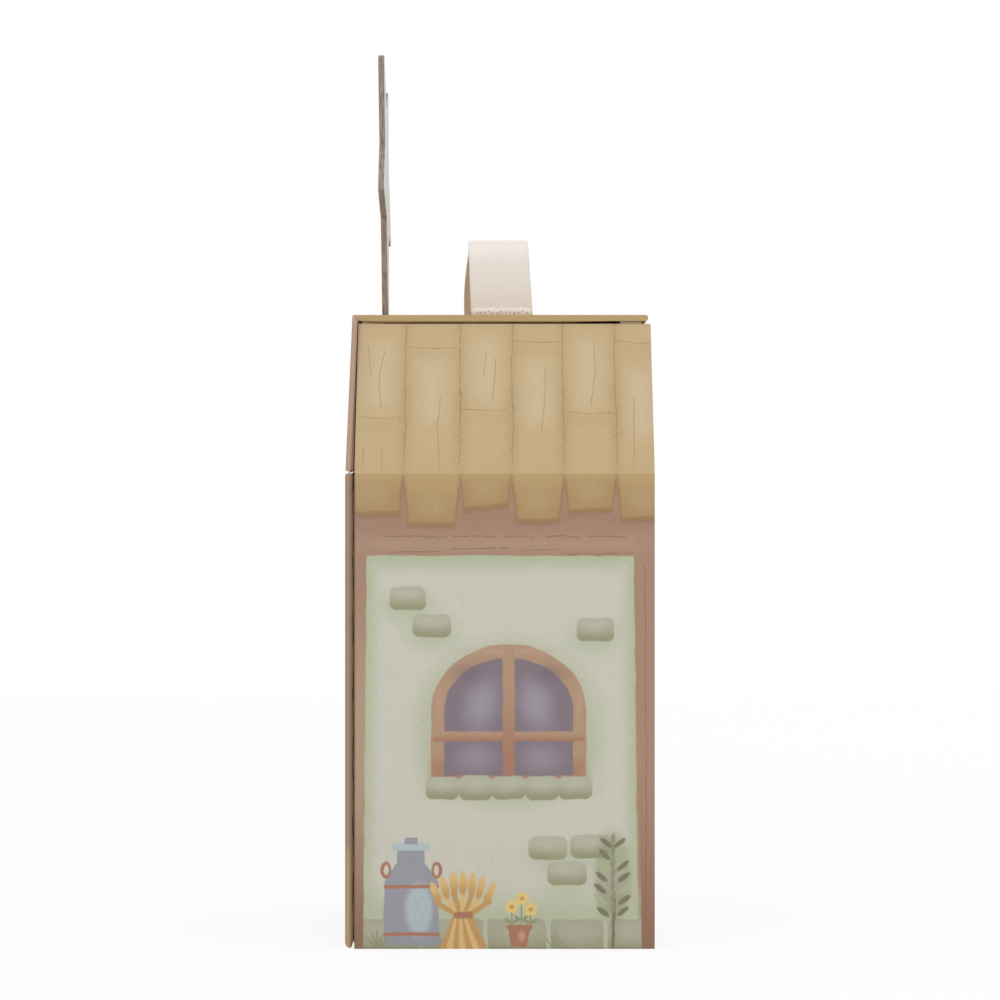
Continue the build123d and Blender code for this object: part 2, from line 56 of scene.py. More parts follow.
camera_data = bpy.data.cameras.new("camera")
camera_data.lens = camera_lens
camera_data.sensor_width = 36.0
camera_data.clip_start = 0.05
camera = bpy.data.objects.new("camera", camera_data)
camera.location = (camera_distance, 0, camera_height)
camera.rotation_euler = (radians(90), 0, radians(90))
bpy.context.scene.collection.objects.link(camera)
bpy.context.scene.camera = camera
bpy.context.scene.view_settings.view_transform = "Standard"

# Sizes read from the frame, in millimetres
MM = 1000


def limits(node):
    """The lowest and highest corner of a CAD node, in millimetres."""
    low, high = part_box(node)
    return [value * MM for value in low], [value * MM for value in high]


wall_low, wall_high = limits("side_wall_right")
slope_top = limits("roof_slope_right")[1][2]
door_low, door_high = limits("front_door")
flap_low, flap_high = limits("gable_flap")
board_low, board_high = limits("top_board")
strap_low, strap_high = limits("carry_handle")
strap_middle = (strap_low[1] + strap_high[1]) / 2
strap_reach = (strap_high[0] - strap_low[0]) / 2
eave = wall_high[2]
lid_top = board_high[2]
half_width = door_high[0]
wall_front = wall_low[1]
wall_rear = wall_high[1]


def ink(red, green, blue):
    """A colour given in sRGB from 0 to 255, as linear RGBA."""
    linear = []
    for value in (red, green, blue):
        share = value / 255
        linear.append(share / 12.92 if share <= 0.04045 else ((share + 0.055) / 1.055) ** 2.4)
    return (*linear, 1.0)


# Inks
TIMBER = ink(164, 131, 109)
TIMBER_DARK = ink(143, 108, 86)
TIMBER_LIGHT = ink(173, 140, 118)
TIMBER_PALE = ink(174, 147, 122)
PENCIL = ink(112, 84, 62)
ROOF = ink(187, 163, 121)
ROOF_GLOW = ink(199, 177, 147)
ROOF_SHADE = ink(171, 147, 104)
ROOF_DEEP = ink(150, 124, 84)
ROOF_LOW = ink(184, 155, 109)
ROOF_END = ink(150, 119, 80)
LID_EDGE = ink(184, 156, 110)
PLASTER = ink(199, 197, 184)
HALO = ink(174, 182, 149)
STONE_TOP = ink(173, 174, 155)
STONE_LOW = ink(147, 147, 115)
BASE_TOP = ink(163, 163, 141)
BASE_LOW = ink(143, 141, 108)
MOSS = ink(166, 175, 138)
WINDOW = ink(174, 141, 116)
WINDOW_LOW = ink(163, 118, 96)
WINDOW_SHINE = ink(190, 160, 138)
PANE = ink(126, 113, 122)
PANE_GLOW = ink(157, 150, 160)
CHURN = ink(148, 149, 158)
CHURN_LIGHT = ink(176, 188, 190)
WHEAT = ink(214, 180, 118)
WHEAT_DARK = ink(190, 148, 94)
TERRACOTTA = ink(168, 116, 92)
LEAF = ink(142, 145, 112)
LEAF_DARK = ink(120, 119, 90)
YELLOW = ink(222, 194, 122)
CREAM = ink(232, 222, 206)
PLANK = ink(196, 168, 132)
STRAW = ink(178, 149, 111)
STRAW_LIGHT = ink(206, 178, 136)


class Tree:
    """Short ways to add nodes to a node tree."""

    def __init__(self, tree):
        self.tree = tree

    def add(self, kind, **settings):
        node = self.tree.nodes.new("ShaderNode" + kind)
        for name, value in settings.items():
            setattr(node, name, value)
        return node

    def feed(self, socket, value):
        if isinstance(value, bpy.types.NodeSocket):
            self.tree.links.new(value, socket)
        else:
            socket.default_value = value

    def math(self, operation, *values):
        node = self.add("Math", operation=operation)
        for socket, value in zip(node.inputs, values):
            self.feed(socket, value)
        return node.outputs[0]

    def plus(self, first, second):
        return self.math("ADD", first, second)

    def minus(self, first, second):
        return self.math("SUBTRACT", first, second)

    def times(self, first, second):
        return self.math("MULTIPLY", first, second)

    def over(self, first, second):
        return self.math("DIVIDE", first, second)

    def most(self, first, second):
        return self.math("MAXIMUM", first, second)

    def least(self, first, second):
        return self.math("MINIMUM", first, second)

    def scaled(self, value, factor, offset):
        return self.math("MULTIPLY_ADD", value, factor, offset)

    def clamp(self, value):
        """The value, kept between 0 and 1."""
        return self.least(self.most(value, 0.0), 1.0)

    def mix(self, share, first, second):
        node = self.add("Mix", data_type="RGBA")
        self.feed(node.inputs[0], share)
        self.feed(node.inputs[6], first)
        self.feed(node.inputs[7], second)
        return node.outputs[2]

    def ramp(self, value, low, high):
        """0 at low and below, 1 at high and above, with a smooth rise between."""
        node = self.add("MapRange", interpolation_type="SMOOTHSTEP", clamp=False)
        for socket, number in zip(node.inputs, (value, low, high, 0.0, 1.0)):
            self.feed(socket, number)
        return node.outputs[0]

    def noise(self, where, scale, detail=2.0, roughness=0.5):
        node = self.add("TexNoise")
        self.feed(node.inputs["Vector"], where)
        node.inputs["Scale"].default_value = scale
        node.inputs["Detail"].default_value = detail
        node.inputs["Roughness"].default_value = roughness
        return node.outputs["Fac"]


socket_kinds = {"Place": "Vector", "Below": "Color", "Colour": "Color"}


def node_group(name, inputs, outputs):
    """A new node group; its sockets hold plain numbers unless socket_kinds says otherwise."""
    group = bpy.data.node_groups.new(name, "ShaderNodeTree")
    for way, sockets in (("INPUT", inputs), ("OUTPUT", outputs)):
        for socket in sockets:
            kind = "NodeSocket" + socket_kinds.get(socket, "Float")
            group.interface.new_socket(socket, in_out=way, socket_type=kind)
    return group


def shape_group(name, inputs, measure):
    """A node group that turns a place into a mask: 1 inside a shape, 0 outside, soft between.

    measure returns the signed distance to the shape's edge and the share of its height.
    """
    group = node_group(name, ("U", "V", *inputs, "Soft"), ("Mask", "Rise"))
    tree = Tree(group)
    given = group.nodes.new("NodeGroupInput")
    values = {socket.name: socket for socket in given.outputs if socket.name}
    distance, rise = measure(tree, values)
    soft = values["Soft"]
    inside = tree.over(tree.minus(soft, distance), tree.times(soft, 2))
    out = group.nodes.new("NodeGroupOutput")
    tree.feed(out.inputs["Mask"], tree.ramp(inside, 0.0, 1.0))
    tree.feed(out.inputs["Rise"], rise)
    return group


def measure_box(tree, value):
    """Distance to a box with rounded corners."""
    beyond = []
    for place, middle, half in (("U", "X", "HalfX"), ("V", "Y", "HalfY")):
        away = tree.math("ABSOLUTE", tree.minus(value[place], value[middle]))
        flat = tree.minus(value[half], value["Round"])
        beyond.append(tree.minus(away, flat))
    out_x = tree.most(beyond[0], 0)
    out_y = tree.most(beyond[1], 0)
    square = tree.plus(tree.times(out_x, out_x), tree.times(out_y, out_y))
    inner = tree.least(tree.most(*beyond), 0)
    distance = tree.plus(tree.math("SQRT", square), inner)
    bottom = tree.minus(value["Y"], value["HalfY"])
    height = tree.times(value["HalfY"], 2)
    rise = tree.over(tree.minus(value["V"], bottom), height)
    return tree.minus(distance, value["Round"]), rise


def measure_ellipse(tree, value):
    """Distance, near enough, to an ellipse turned by an angle."""
    across = tree.minus(value["U"], value["X"])
    up = tree.minus(value["V"], value["Y"])
    c = tree.math("COSINE", value["Turn"])
    s = tree.math("SINE", value["Turn"])
    along = tree.plus(tree.times(across, c), tree.times(up, s))
    beside = tree.minus(tree.times(up, c), tree.times(across, s))
    share_x = tree.over(along, value["HalfX"])
    share_y = tree.over(beside, value["HalfY"])
    square = tree.plus(tree.times(share_x, share_x), tree.times(share_y, share_y))
    least = tree.least(value["HalfX"], value["HalfY"])
    distance = tree.times(tree.minus(tree.math("SQRT", square), 1), least)
    rise = tree.scaled(share_y, 0.5, 0.5)
    return distance, rise


def measure_stroke(tree, value):
    """Distance to a round-ended stroke between two points."""
    to_x = tree.minus(value["U"], value["X"])
    to_y = tree.minus(value["V"], value["Y"])
    run_x = tree.minus(value["EndX"], value["X"])
    run_y = tree.minus(value["EndY"], value["Y"])
    dot = tree.plus(tree.times(to_x, run_x), tree.times(to_y, run_y))
    size = tree.plus(tree.times(run_x, run_x), tree.times(run_y, run_y))
    share = tree.clamp(tree.over(dot, size))
    off_x = tree.minus(to_x, tree.times(run_x, share))
    off_y = tree.minus(to_y, tree.times(run_y, share))
    square = tree.plus(tree.times(off_x, off_x), tree.times(off_y, off_y))
    return tree.minus(tree.math("SQRT", square), value["Half"]), share


def measure_taper(tree, value):
    """Distance, near enough, to a shape whose width changes evenly from its foot to its top."""
    across = tree.minus(value["U"], value["X"])
    level = tree.minus(value["V"], tree.times(across, value["Tilt"]))
    height = tree.minus(value["Top"], value["Foot"])
    rise = tree.over(tree.minus(level, value["Foot"]), height)
    change = tree.minus(value["TopHalf"], value["FootHalf"])
    half = tree.plus(value["FootHalf"], tree.times(change, rise))
    side = tree.minus(tree.math("ABSOLUTE", across), half)
    below = tree.minus(value["Foot"], level)
    above = tree.minus(level, value["Top"])
    return tree.most(side, tree.most(below, above)), rise


BOX = shape_group("box_shape", ("X", "Y", "HalfX", "HalfY", "Round"), measure_box)
ELLIPSE = shape_group("ellipse_shape", ("X", "Y", "HalfX", "HalfY", "Turn"), measure_ellipse)
STROKE = shape_group("stroke_shape", ("X", "Y", "EndX", "EndY", "Half"), measure_stroke)
TAPER = shape_group("taper_shape", ("X", "Foot", "Top", "FootHalf", "TopHalf", "Tilt"), measure_taper)


class Picture(Tree):
    """A printed or painted picture as a node group, drawn in millimetres across (u) and up (v).

    The shapes are laid in layers, each a node group of its own, so that no one group grows large.
    Each shape is nudged by its own tiny distance: the renderer merges equal sums of two shapes and
    holds them between the two, and it can hold only a few.
    """

    shapes_per_layer = 24
    nudge = 0.0002

    def __init__(self, name, draw, wobble=0.35):
        self.name = name
        self.layers = []
        self.laid = 0
        self.open_layer()
        draw(self)
        self.close_layer()
        self.join_layers(wobble)

    def open_layer(self):
        """Start a node group that takes the picture so far and adds shapes to it."""
        name = f"{self.name}_layer_{len(self.layers)}"
        group = node_group(name, ("U", "V", "Dash", "Grain", "Below"), ("Colour",))
        super().__init__(group)
        given = group.nodes.new("NodeGroupInput")
        self.u = given.outputs["U"]
        self.v = given.outputs["V"]
        self.dash = given.outputs["Dash"]
        self.grain = given.outputs["Grain"]
        self.colour = given.outputs["Below"]
        self.count = 0

    def close_layer(self):
        """Finish the open layer."""
        out = self.tree.nodes.new("NodeGroupOutput")
        self.feed(out.inputs["Colour"], self.colour)
        self.layers.append(self.tree)

    def join_layers(self, wobble):
        """Chain the layers in one group, with the noises that they share."""
        group = node_group(self.name, ("Place", "U", "V"), ("Colour",))
        super().__init__(group)
        given = group.nodes.new("NodeGroupInput")
        place = given.outputs["Place"]
        sway = self.noise(place, 110, 3.0)
        shift = self.scaled(sway, wobble * 4, -wobble * 2)
        sway_up = self.noise(place, 130, 3.0)
        shift_up = self.scaled(sway_up, wobble * 4, -wobble * 2)
        u = self.plus(given.outputs["U"], shift)
        v = self.plus(given.outputs["V"], shift_up)
        broken = self.ramp(self.noise(place, 520, 2.0), 0.36, 0.5)
        dash = self.scaled(broken, 0.75, 0.25)
        speck = self.noise(place, 1300, 3.0, 0.7)
        grain = self.scaled(speck, 5.0, -2.5)
        colour = PLASTER
        for layer in self.layers:
            node = self.add("Group")
            node.node_tree = layer
            for socket, value in zip(node.inputs, (u, v, dash, grain, colour)):
                self.feed(socket, value)
            colour = node.outputs["Colour"]
        out = group.nodes.new("NodeGroupOutput")
        self.feed(out.inputs["Colour"], colour)

    def fill(self, colour):
        self.colour = colour

    def lay(self, group, numbers, colour, soft=0.3, strength=1.0, low=None, dashed=False, specks=False):
        """Lay one shape over the picture, running from the colour low at its foot to colour."""
        if self.count == self.shapes_per_layer:
            self.close_layer()
            self.open_layer()
        self.count += 1
        self.laid += 1
        x, y, *sizes = numbers
        numbers = (x + self.nudge * self.laid, y + self.nudge * self.laid, *sizes)
        node = self.add("Group")
        node.node_tree = group
        for socket, value in zip(node.inputs, (self.u, self.v, *numbers, soft)):
            self.feed(socket, value)
        mask = node.outputs["Mask"]
        if dashed:
            mask = self.times(mask, self.dash)
        if specks:
            mask = self.times(mask, self.clamp(self.scaled(self.grain, 1.0, 0.4)))
        if soft >= 1.0:
            rest = self.minus(1.0, mask)
            speckle = self.times(self.times(mask, rest), self.grain)
            mask = self.clamp(self.plus(mask, speckle))
        if strength != 1.0:
            mask = self.times(mask, strength)
        if low is not None:
            colour = self.mix(self.ramp(node.outputs["Rise"], 0.05, 0.8), low, colour)
        self.colour = self.mix(mask, self.colour, colour)
        return mask

    def box(self, x, y, half_x, half_y, colour, corner=0.5, **look):
        return self.lay(BOX, (x, y, half_x, half_y, corner), colour, **look)

    def ellipse(self, x, y, half_x, half_y, colour, turn=0.0, **look):
        return self.lay(ELLIPSE, (x, y, half_x, half_y, radians(turn)), colour, **look)

    def stroke(self, x, y, end_x, end_y, half, colour, **look):
        return self.lay(STROKE, (x, y, end_x, end_y, half), colour, **look)

    def taper(self, x, foot, top, foot_half, top_half, colour, tilt=0.0, **look):
        return self.lay(TAPER, (x, foot, top, foot_half, top_half, tilt), colour, **look)

    def pencil(self, points, colour=PENCIL, half=0.14, strength=0.6, dashed=True):
        """A thin drawn line through a few points."""
        for (x, y), (end_x, end_y) in zip(points, points[1:]):
            self.stroke(x, y, end_x, end_y, half, colour, soft=0.16, strength=strength, dashed=dashed)

    def stone(self, x, y, half_x, half_y, top=STONE_TOP, low=STONE_LOW, corner=0.62):
        """A rounded stone, pale above and mossy below."""
        self.box(x, y, half_x, half_y, top, corner=min(half_x, half_y) * corner, low=low)
        glow_soft = max(2.0, half_y * 0.6)
        self.ellipse(x, y + half_y * 0.2, half_x * 0.6, half_y * 0.5, CREAM, soft=glow_soft, strength=0.16)

    def arch(self, x, foot, spring, half, rise, colour, **look):
        """An opening with upright sides and a round top."""
        self.ellipse(x, spring, half, rise, colour, **look)
        self.box(x, (foot + spring) / 2, half, (spring - foot) / 2 + 0.4, colour, corner=0.3, **look)

    def tuft(self, x, foot, size):
        """A small tuft of grass."""
        for lean, height in ((-0.55, 0.62), (-0.22, 0.85), (0.05, 1.0), (0.33, 0.8), (0.62, 0.55)):
            tip = (x + lean * size, foot + height * size)
            self.stroke(x + lean * size * 0.25, foot, *tip, size * 0.06, LEAF, soft=0.25, strength=0.8)

    def flower(self, x, foot, height, petal):
        """A small round flower with a leaf on each side."""
        self.stroke(x, foot, x, foot + height, 0.3, LEAF, soft=0.2)
        for side in (-1, 1):
            leaf_x = x + side * petal * 0.8
            leaf_y = foot + height * 0.35
            self.ellipse(leaf_x, leaf_y, petal * 0.8, petal * 0.3, LEAF, turn=side * 35, soft=0.2)
        for k in range(5):
            angle = radians(90 + 72 * k)
            petal_x = x + petal * 0.8 * cos(angle)
            petal_y = foot + height + petal * 0.8 * sin(angle)
            self.ellipse(petal_x, petal_y, petal * 0.6, petal * 0.6, YELLOW, soft=0.25)
        self.ellipse(x, foot + height, petal * 0.45, petal * 0.45, WHEAT_DARK, soft=0.25)


class Material(Tree):
    """A procedural material, with places in millimetres in the frame at rest."""

    def __init__(self, name):
        self.material = bpy.data.materials.new(name)
        self.material.use_nodes = True
        super().__init__(self.material.node_tree)
        self.shader = self.tree.nodes["Principled BSDF"]
        coordinates = self.add("TexCoord")
        self.place = coordinates.outputs["Object"]
        self.normal = coordinates.outputs["Normal"]
        self.axes = self.add("SeparateXYZ")
        self.feed(self.axes.inputs[0], self.place)

    def axis(self, letter, offset=0.0):
        """A coordinate in millimetres, counted from offset."""
        return self.scaled(self.axes.outputs[letter], MM, -offset)

    def facing(self, direction, low=0.2, high=0.5):
        """1 where the surface faces a direction; X counts outward from the middle on both sides."""
        node = self.add("SeparateXYZ")
        self.feed(node.inputs[0], self.normal)
        side = self.math("SIGN", self.axes.outputs["X"])
        outward = self.times(node.outputs["X"], side)
        total = self.times(outward, direction[0])
        total = self.scaled(node.outputs["Y"], direction[1], total)
        total = self.scaled(node.outputs["Z"], direction[2], total)
        return self.ramp(total, low, high)

    def show(self, picture, u, v):
        """The colour of a picture at the place (u, v)."""
        node = self.add("Group")
        node.node_tree = picture.tree
        for socket, value in zip(node.inputs, (self.place, u, v)):
            self.feed(socket, value)
        return node.outputs["Colour"]

    def tint(self, colour, where_scale, amount, detail=3.0):
        """The colour with a light and dark mottle."""
        mottle = self.noise(self.place, where_scale, detail)
        level = self.scaled(mottle, amount * 2, 1 - amount)
        node = self.add("VectorMath", operation="SCALE")
        self.feed(node.inputs[0], colour if isinstance(colour, bpy.types.NodeSocket) else colour[:3])
        self.feed(node.inputs["Scale"], level)
        return node.outputs["Vector"]

    def streaks(self, stretch, scale, detail, roughness=0.5):
        """A noise stretched by a factor along each axis; a small factor gives long streaks."""
        node = self.add("VectorMath", operation="MULTIPLY")
        self.feed(node.inputs[0], self.place)
        node.inputs[1].default_value = stretch
        return self.noise(node.outputs["Vector"], scale, detail, roughness)

    def weave(self, across):
        """A faint linen weave, running across a panel and up it."""
        long_across = {"X": (0.16, 1.0, 1.0), "Y": (1.0, 0.16, 1.0)}[across]
        level = self.streaks(long_across, 2600, 2.0)
        plumb = self.streaks((1.0, 1.0, 0.16), 2600, 2.0)
        return self.ramp(self.most(level, plumb), 0.5, 0.75)

    def finish(self, colour, roughness=0.6, bumps=(), sheen=0.0, specular=0.35):
        """Connect the colour, roughness and bumps; each bump is (height, distance in metres)."""
        self.feed(self.shader.inputs["Base Color"], colour)
        self.feed(self.shader.inputs["Roughness"], roughness)
        self.shader.inputs["Specular IOR Level"].default_value = specular
        self.shader.inputs["Sheen Weight"].default_value = sheen
        normal = None
        for height, distance in bumps:
            bump = self.add("Bump")
            bump.inputs["Distance"].default_value = distance
            bump.inputs["Strength"].default_value = 1.0
            self.feed(bump.inputs["Height"], height)
            if normal is not None:
                self.feed(bump.inputs["Normal"], normal)
            normal = bump.outputs["Normal"]
        if normal is not None:
            self.feed(self.shader.inputs["Normal"], normal)
        return self.material


def paint(node, material):
    """Give a CAD node a material."""
    for slot in nodes[node].material_slots:
        slot.material = material


# Printed panels of the case

board_count = 6
board_ends = (180.6, 176.0, 183.2, 177.6, 182.0, 178.4)
board_tilts = (0.02, -0.03, 0.12, 0.03, 0.08, 0.06)
board_glows = (240.0, 234.0, 242.0, 233.0, 241.0, 228.0)
board_joints = (221.6, 251.9, 225.0, 254.5, 223.7, 254.3)
board_cracks = (
    ((-56.1, 252.3), (-54.9, 240.3)),
    ((-49.0, 250.2), (-50.8, 241.0), (-51.3, 235.0), (-50.3, 225.9)),
    ((-57.1, 209.7), (-57.5, 200.0)),
    ((-49.5, 209.2), (-49.2, 203.0), (-49.6, 195.3)),
    ((-25.0, 231.0), (-26.3, 218.2), (-25.3, 197.5)),
    ((-6.0, 249.7), (-7.2, 240.1)),
    ((-1.9, 247.0), (-2.0, 240.0), (-3.1, 229.3)),
    ((19.0, 243.1), (19.1, 231.0), (17.3, 215.6)),
    ((40.4, 253.1), (40.4, 241.8), (38.3, 226.3)),
    ((56.7, 230.2), (56.3, 215.0), (55.7, 199.1)),
)


def board_edges(low, high):
    """The borders between roof boards, spread over a panel with a little unevenness."""
    pitch = (high - low) / (board_count - 0.25)
    drift = (0.0, -1.2, 0.2, 0.6, 0.2, 0.6, 0.0)
    return [low + pitch * k + drift[k] for k in range(board_count)] + [high + pitch * 0.25]


def draw_roof(picture, low, high):
    """Roof boards above the eave, each with a soft glow, pencilled borders and a few cracks."""
    edges = board_edges(low, high)
    picture.fill(ROOF)
    for edge in edges[1:-1]:
        picture.stroke(edge, 190, edge, 275, 0.8, ROOF_SHADE, soft=4.2, strength=0.9)
        picture.stroke(edge - 0.4, 192, edge + 0.4, 232, 1.0, ROOF_DEEP, soft=5.0, strength=0.7, specks=True)
    for k in range(board_count):
        middle = (edges[k] + edges[k + 1]) / 2
        glow = board_glows[k]
        joint = board_joints[k]
        picture.box(middle, joint - 3.4, 9.5, 2.0, ROOF_SHADE, soft=2.6, strength=0.26)
        picture.box(middle, glow, 4.0, 13.0, ROOF_GLOW, corner=4.0, soft=7.0, strength=0.8)
        picture.pencil([(edges[k] + 0.9, joint + 0.5), (middle, joint - 0.3), (edges[k + 1] - 1.6, joint)])
    for crack in board_cracks:
        picture.pencil(crack, half=0.13, dashed=False, strength=0.62)
    for edge in edges[1:-1]:
        picture.pencil([(edge, 202), (edge + 0.3, 218), (edge - 0.2, 241), (edge + 0.2, 270)], half=0.17,
                       strength=0.6)
    picture.box((low + high) / 2, eave - 4, high - low, 12, ROOF_LOW, soft=12, strength=0.5)


def draw_board_ends(picture, low, high):
    """The lower ends of the roof boards, over the timber below the eave."""
    edges = board_edges(low, high)
    edges[0] -= 6
    for k in range(board_count):
        middle = (edges[k] + edges[k + 1]) / 2
        half = (edges[k + 1] - edges[k]) / 2
        end = board_ends[k]
        tilt = board_tilts[k]
        picture.taper(middle, end - 1.2, end + 15, half - 1.7, half - 0.1, TIMBER_DARK, tilt=tilt,
                      soft=0.6, strength=0.5)
        picture.taper(middle, end, end + 16, half - 1.9, half + 0.1, ROOF_END, tilt=tilt, soft=0.25)
        picture.taper(middle, end + 1.7, end + 30, half - 2.2, half + 0.8, ROOF_LOW, tilt=tilt, soft=0.7,
                      low=ink(172, 140, 96))
        picture.ellipse(middle, end + 9, half * 0.5, 5.5, ROOF, soft=4.5, strength=0.45)
        picture.box(middle, end + 8, half - 1, 6.5, ink(156, 128, 88), soft=2.0, strength=0.4, specks=True)
    picture.box((low + high) / 2, eave + 20, high - low, 21, ROOF_LOW, soft=3.0, corner=0.1)
    for edge in edges[1:-1]:
        picture.stroke(edge, eave - 8, edge, eave + 3, 0.4, ROOF_END, soft=3.2, strength=0.7, specks=True)


def draw_timber(picture, low, high, sill):
    """Timber posts and the beam under the roof, with pencilled grain."""
    picture.fill(TIMBER)
    middle = (low + high) / 2
    picture.box(middle, 177, high - low, 4.0, TIMBER_DARK, soft=5, strength=0.4)
    picture.box(middle, 168.6, (high - low) / 2 - 8, 1.6, TIMBER_LIGHT, soft=3.0, strength=0.7)
    picture.box(middle, 172, high - low, 6.5, ink(184, 152, 132), soft=2.0, strength=0.35, specks=True)
    for start, end in ((-48.0, -22.0), (-19.5, -2.0), (2.0, 14.0), (19.0, 33.0), (37.0, 52.5)):
        picture.pencil([(start, 171.7), ((start + end) / 2, 172.0), (end, 171.5)], half=0.19, strength=0.72)
    for start, end, lift in ((-45.8, -24.0, 0.2), (-20.0, 4.0, 1.4), (8.0, 24.0, 1.0), (28.0, 55.0, -0.6)):
        picture.pencil([(start, 165.0 + lift), (end, 165.6 + lift)], half=0.18, strength=0.7)
    for post in (low + 1.6, high - 4.2):
        picture.pencil([(post, sill), (post + 0.5, 70), (post - 0.2, 120), (post + 0.3, 160)], strength=0.5)


def draw_plaster(picture, low, high, foot, top, spread=0.0):
    """A pale plastered field with a soft green edge, wider at its foot by the spread."""
    middle = (low + high) / 2
    half = (high - low) / 2
    picture.taper(middle, foot, top, half + spread, half, HALO)
    picture.taper(middle, foot + 6, top - 4.6, half + spread - 3.4, half - 3.4, PLASTER, soft=5.5)
    picture.taper(middle, foot, top - 9, half + spread - 6.0, half - 6.0, PLASTER, soft=4.0, strength=0.7)


def draw_base_stones(picture, low, high, joints):
    """The row of large stones along the foot of a wall, with a painted shadow line under them where the wall
    meets the table.
    """
    picture.box((low + high) / 2, 4, (high - low) / 2 - 1, 17, HALO, soft=9, strength=0.8)
    stops = [low - 6, *joints, high + 6]
    for left, right in zip(stops, stops[1:]):
        middle = (left + right) / 2
        half = (right - left) / 2 - 0.95
        picture.stone(middle, 3.6, half, 8.8, top=BASE_TOP, low=BASE_LOW, corner=0.24)
    # Painted shadow: a dark line along the foot of the wall, where it stands on the table
    picture.box((low + high) / 2, -0.5, (high - low) / 2 + 2, 1.0, LEAF_DARK, soft=0.8, strength=0.6)


def draw_window(picture, x, sill, half, spring, rise):
    """An arched timber window with a mullion and a transom, on a stone sill."""
    picture.ellipse(x, spring - 5, half + 6, rise + 7, HALO, soft=7, strength=0.7)
    picture.box(x, sill + 4, half + 5, 12, HALO, corner=5, soft=6, strength=0.5)
    picture.arch(x, sill, spring, half, rise, WINDOW)
    picture.box(x, sill + 3, half - 0.4, 4, WINDOW_LOW, soft=3.5, strength=0.8)
    picture.ellipse(x, spring + rise - 3, half * 0.34, 0.8, WINDOW_SHINE, soft=1.7, strength=0.7)
    for side in (-1, 1):
        picture.ellipse(x + side * (half - 3), spring + 2, 0.8, 5.0, WINDOW_SHINE, soft=1.7,
                        strength=0.5)
    inner = half - 5.4
    picture.arch(x, sill + 1.2, spring, inner, rise - 5.8, PANE)
    for side in (-1, 1):
        picture.ellipse(x + side * inner * 0.42, spring + 3, 5.6, 9.0, PANE_GLOW, turn=side * 14, soft=5.5,
                        strength=0.85)
        picture.ellipse(x + side * inner * 0.5, sill + 8, 6.5, 4.6, PANE_GLOW, soft=5.0, strength=0.6)
        picture.ellipse(x + side * inner * 0.62, spring + rise * 0.55, 5.0, 3.0, ink(112, 97, 106), soft=4.0,
                        strength=0.6)
    bar_y = sill + (spring - sill) * 0.62
    picture.box(x, bar_y, half - 1.0, 2.1, WINDOW, corner=0.3, low=WINDOW_LOW)
    picture.box(x, (sill + spring + rise) / 2, 2.5, (spring + rise - sill) / 2 - 1, WINDOW, corner=0.2,
                low=WINDOW_LOW)
    count = 5
    pitch = (2 * half + 4.5) / count
    for k in range(count):
        stone_x = x - half - 2.25 + pitch * (k + 0.5)
        picture.stone(stone_x, sill - 4.4, pitch / 2 + 0.1, 4.8 + 0.25 * (k % 2))


def draw_churn(picture, x, foot, size):
    """A milk churn: body, shoulder, neck and lid, with a paler speckled flank."""
    s = size
    picture.ellipse(x + 0.06 * s, foot + 0.02 * s, 0.34 * s, 0.06 * s, LEAF, soft=1.5, strength=0.6)
    picture.box(x, foot + 0.3 * s, 0.25 * s, 0.3 * s, CHURN, corner=0.06 * s, soft=0.25)
    picture.taper(x, foot + 0.57 * s, foot + 0.74 * s, 0.25 * s, 0.13 * s, CHURN)
    picture.box(x, foot + 0.78 * s, 0.125 * s, 0.08 * s, CHURN, corner=0.4, soft=0.25)
    picture.box(x, foot + 0.89 * s, 0.17 * s, 0.035 * s, CHURN_LIGHT, corner=0.8, soft=0.25)
    picture.box(x, foot + 0.94 * s, 0.06 * s, 0.03 * s, CHURN, corner=0.6, soft=0.25)
    picture.ellipse(x + 0.07 * s, foot + 0.32 * s, 0.12 * s, 0.23 * s, CHURN_LIGHT, soft=1.6, strength=0.9)
    for band in (0.1, 0.53):
        picture.box(x, foot + band * s, 0.255 * s, 0.016 * s, TERRACOTTA, corner=0.3, soft=0.25)
    for side in (-1, 1):
        picture.ellipse(x + side * 0.23 * s, foot + 0.68 * s, 0.05 * s, 0.075 * s, TERRACOTTA, soft=0.25)
        picture.ellipse(x + side * 0.225 * s, foot + 0.68 * s, 0.022 * s, 0.045 * s, PLASTER, soft=0.25)
    for row in range(4):
        for column in range(3):
            dot_x = x + (0.0 + 0.065 * column + 0.03 * (row % 2)) * s
            dot_y = foot + (0.2 + 0.08 * row) * s
            picture.stroke(dot_x, dot_y, dot_x - 0.25, dot_y - 0.8, 0.14, CHURN, soft=0.15, strength=0.9)


def draw_sheaf(picture, x, foot, size):
    """A sheaf of wheat: fanned stalks, ears above and a tied waist."""
    s = size
    waist = foot + 0.42 * s
    for k in range(7):
        spread = (k - 3) / 3
        tone = WHEAT if k % 2 else WHEAT_DARK
        picture.stroke(x + spread * 0.26 * s, foot, x + spread * 0.08 * s, waist, 0.05 * s, tone)
        top_x = x + spread * 0.36 * s
        top_y = foot + (0.93 - 0.13 * spread * spread) * s
        picture.stroke(x + spread * 0.08 * s, waist, top_x, top_y - 0.2 * s, 0.035 * s, tone)
        lean = -spread * 24
        picture.ellipse(top_x, top_y - 0.08 * s, 0.055 * s, 0.16 * s, WHEAT, turn=lean,
                        low=WHEAT_DARK)
    picture.box(x, waist, 0.13 * s, 0.045 * s, TERRACOTTA, corner=0.9)


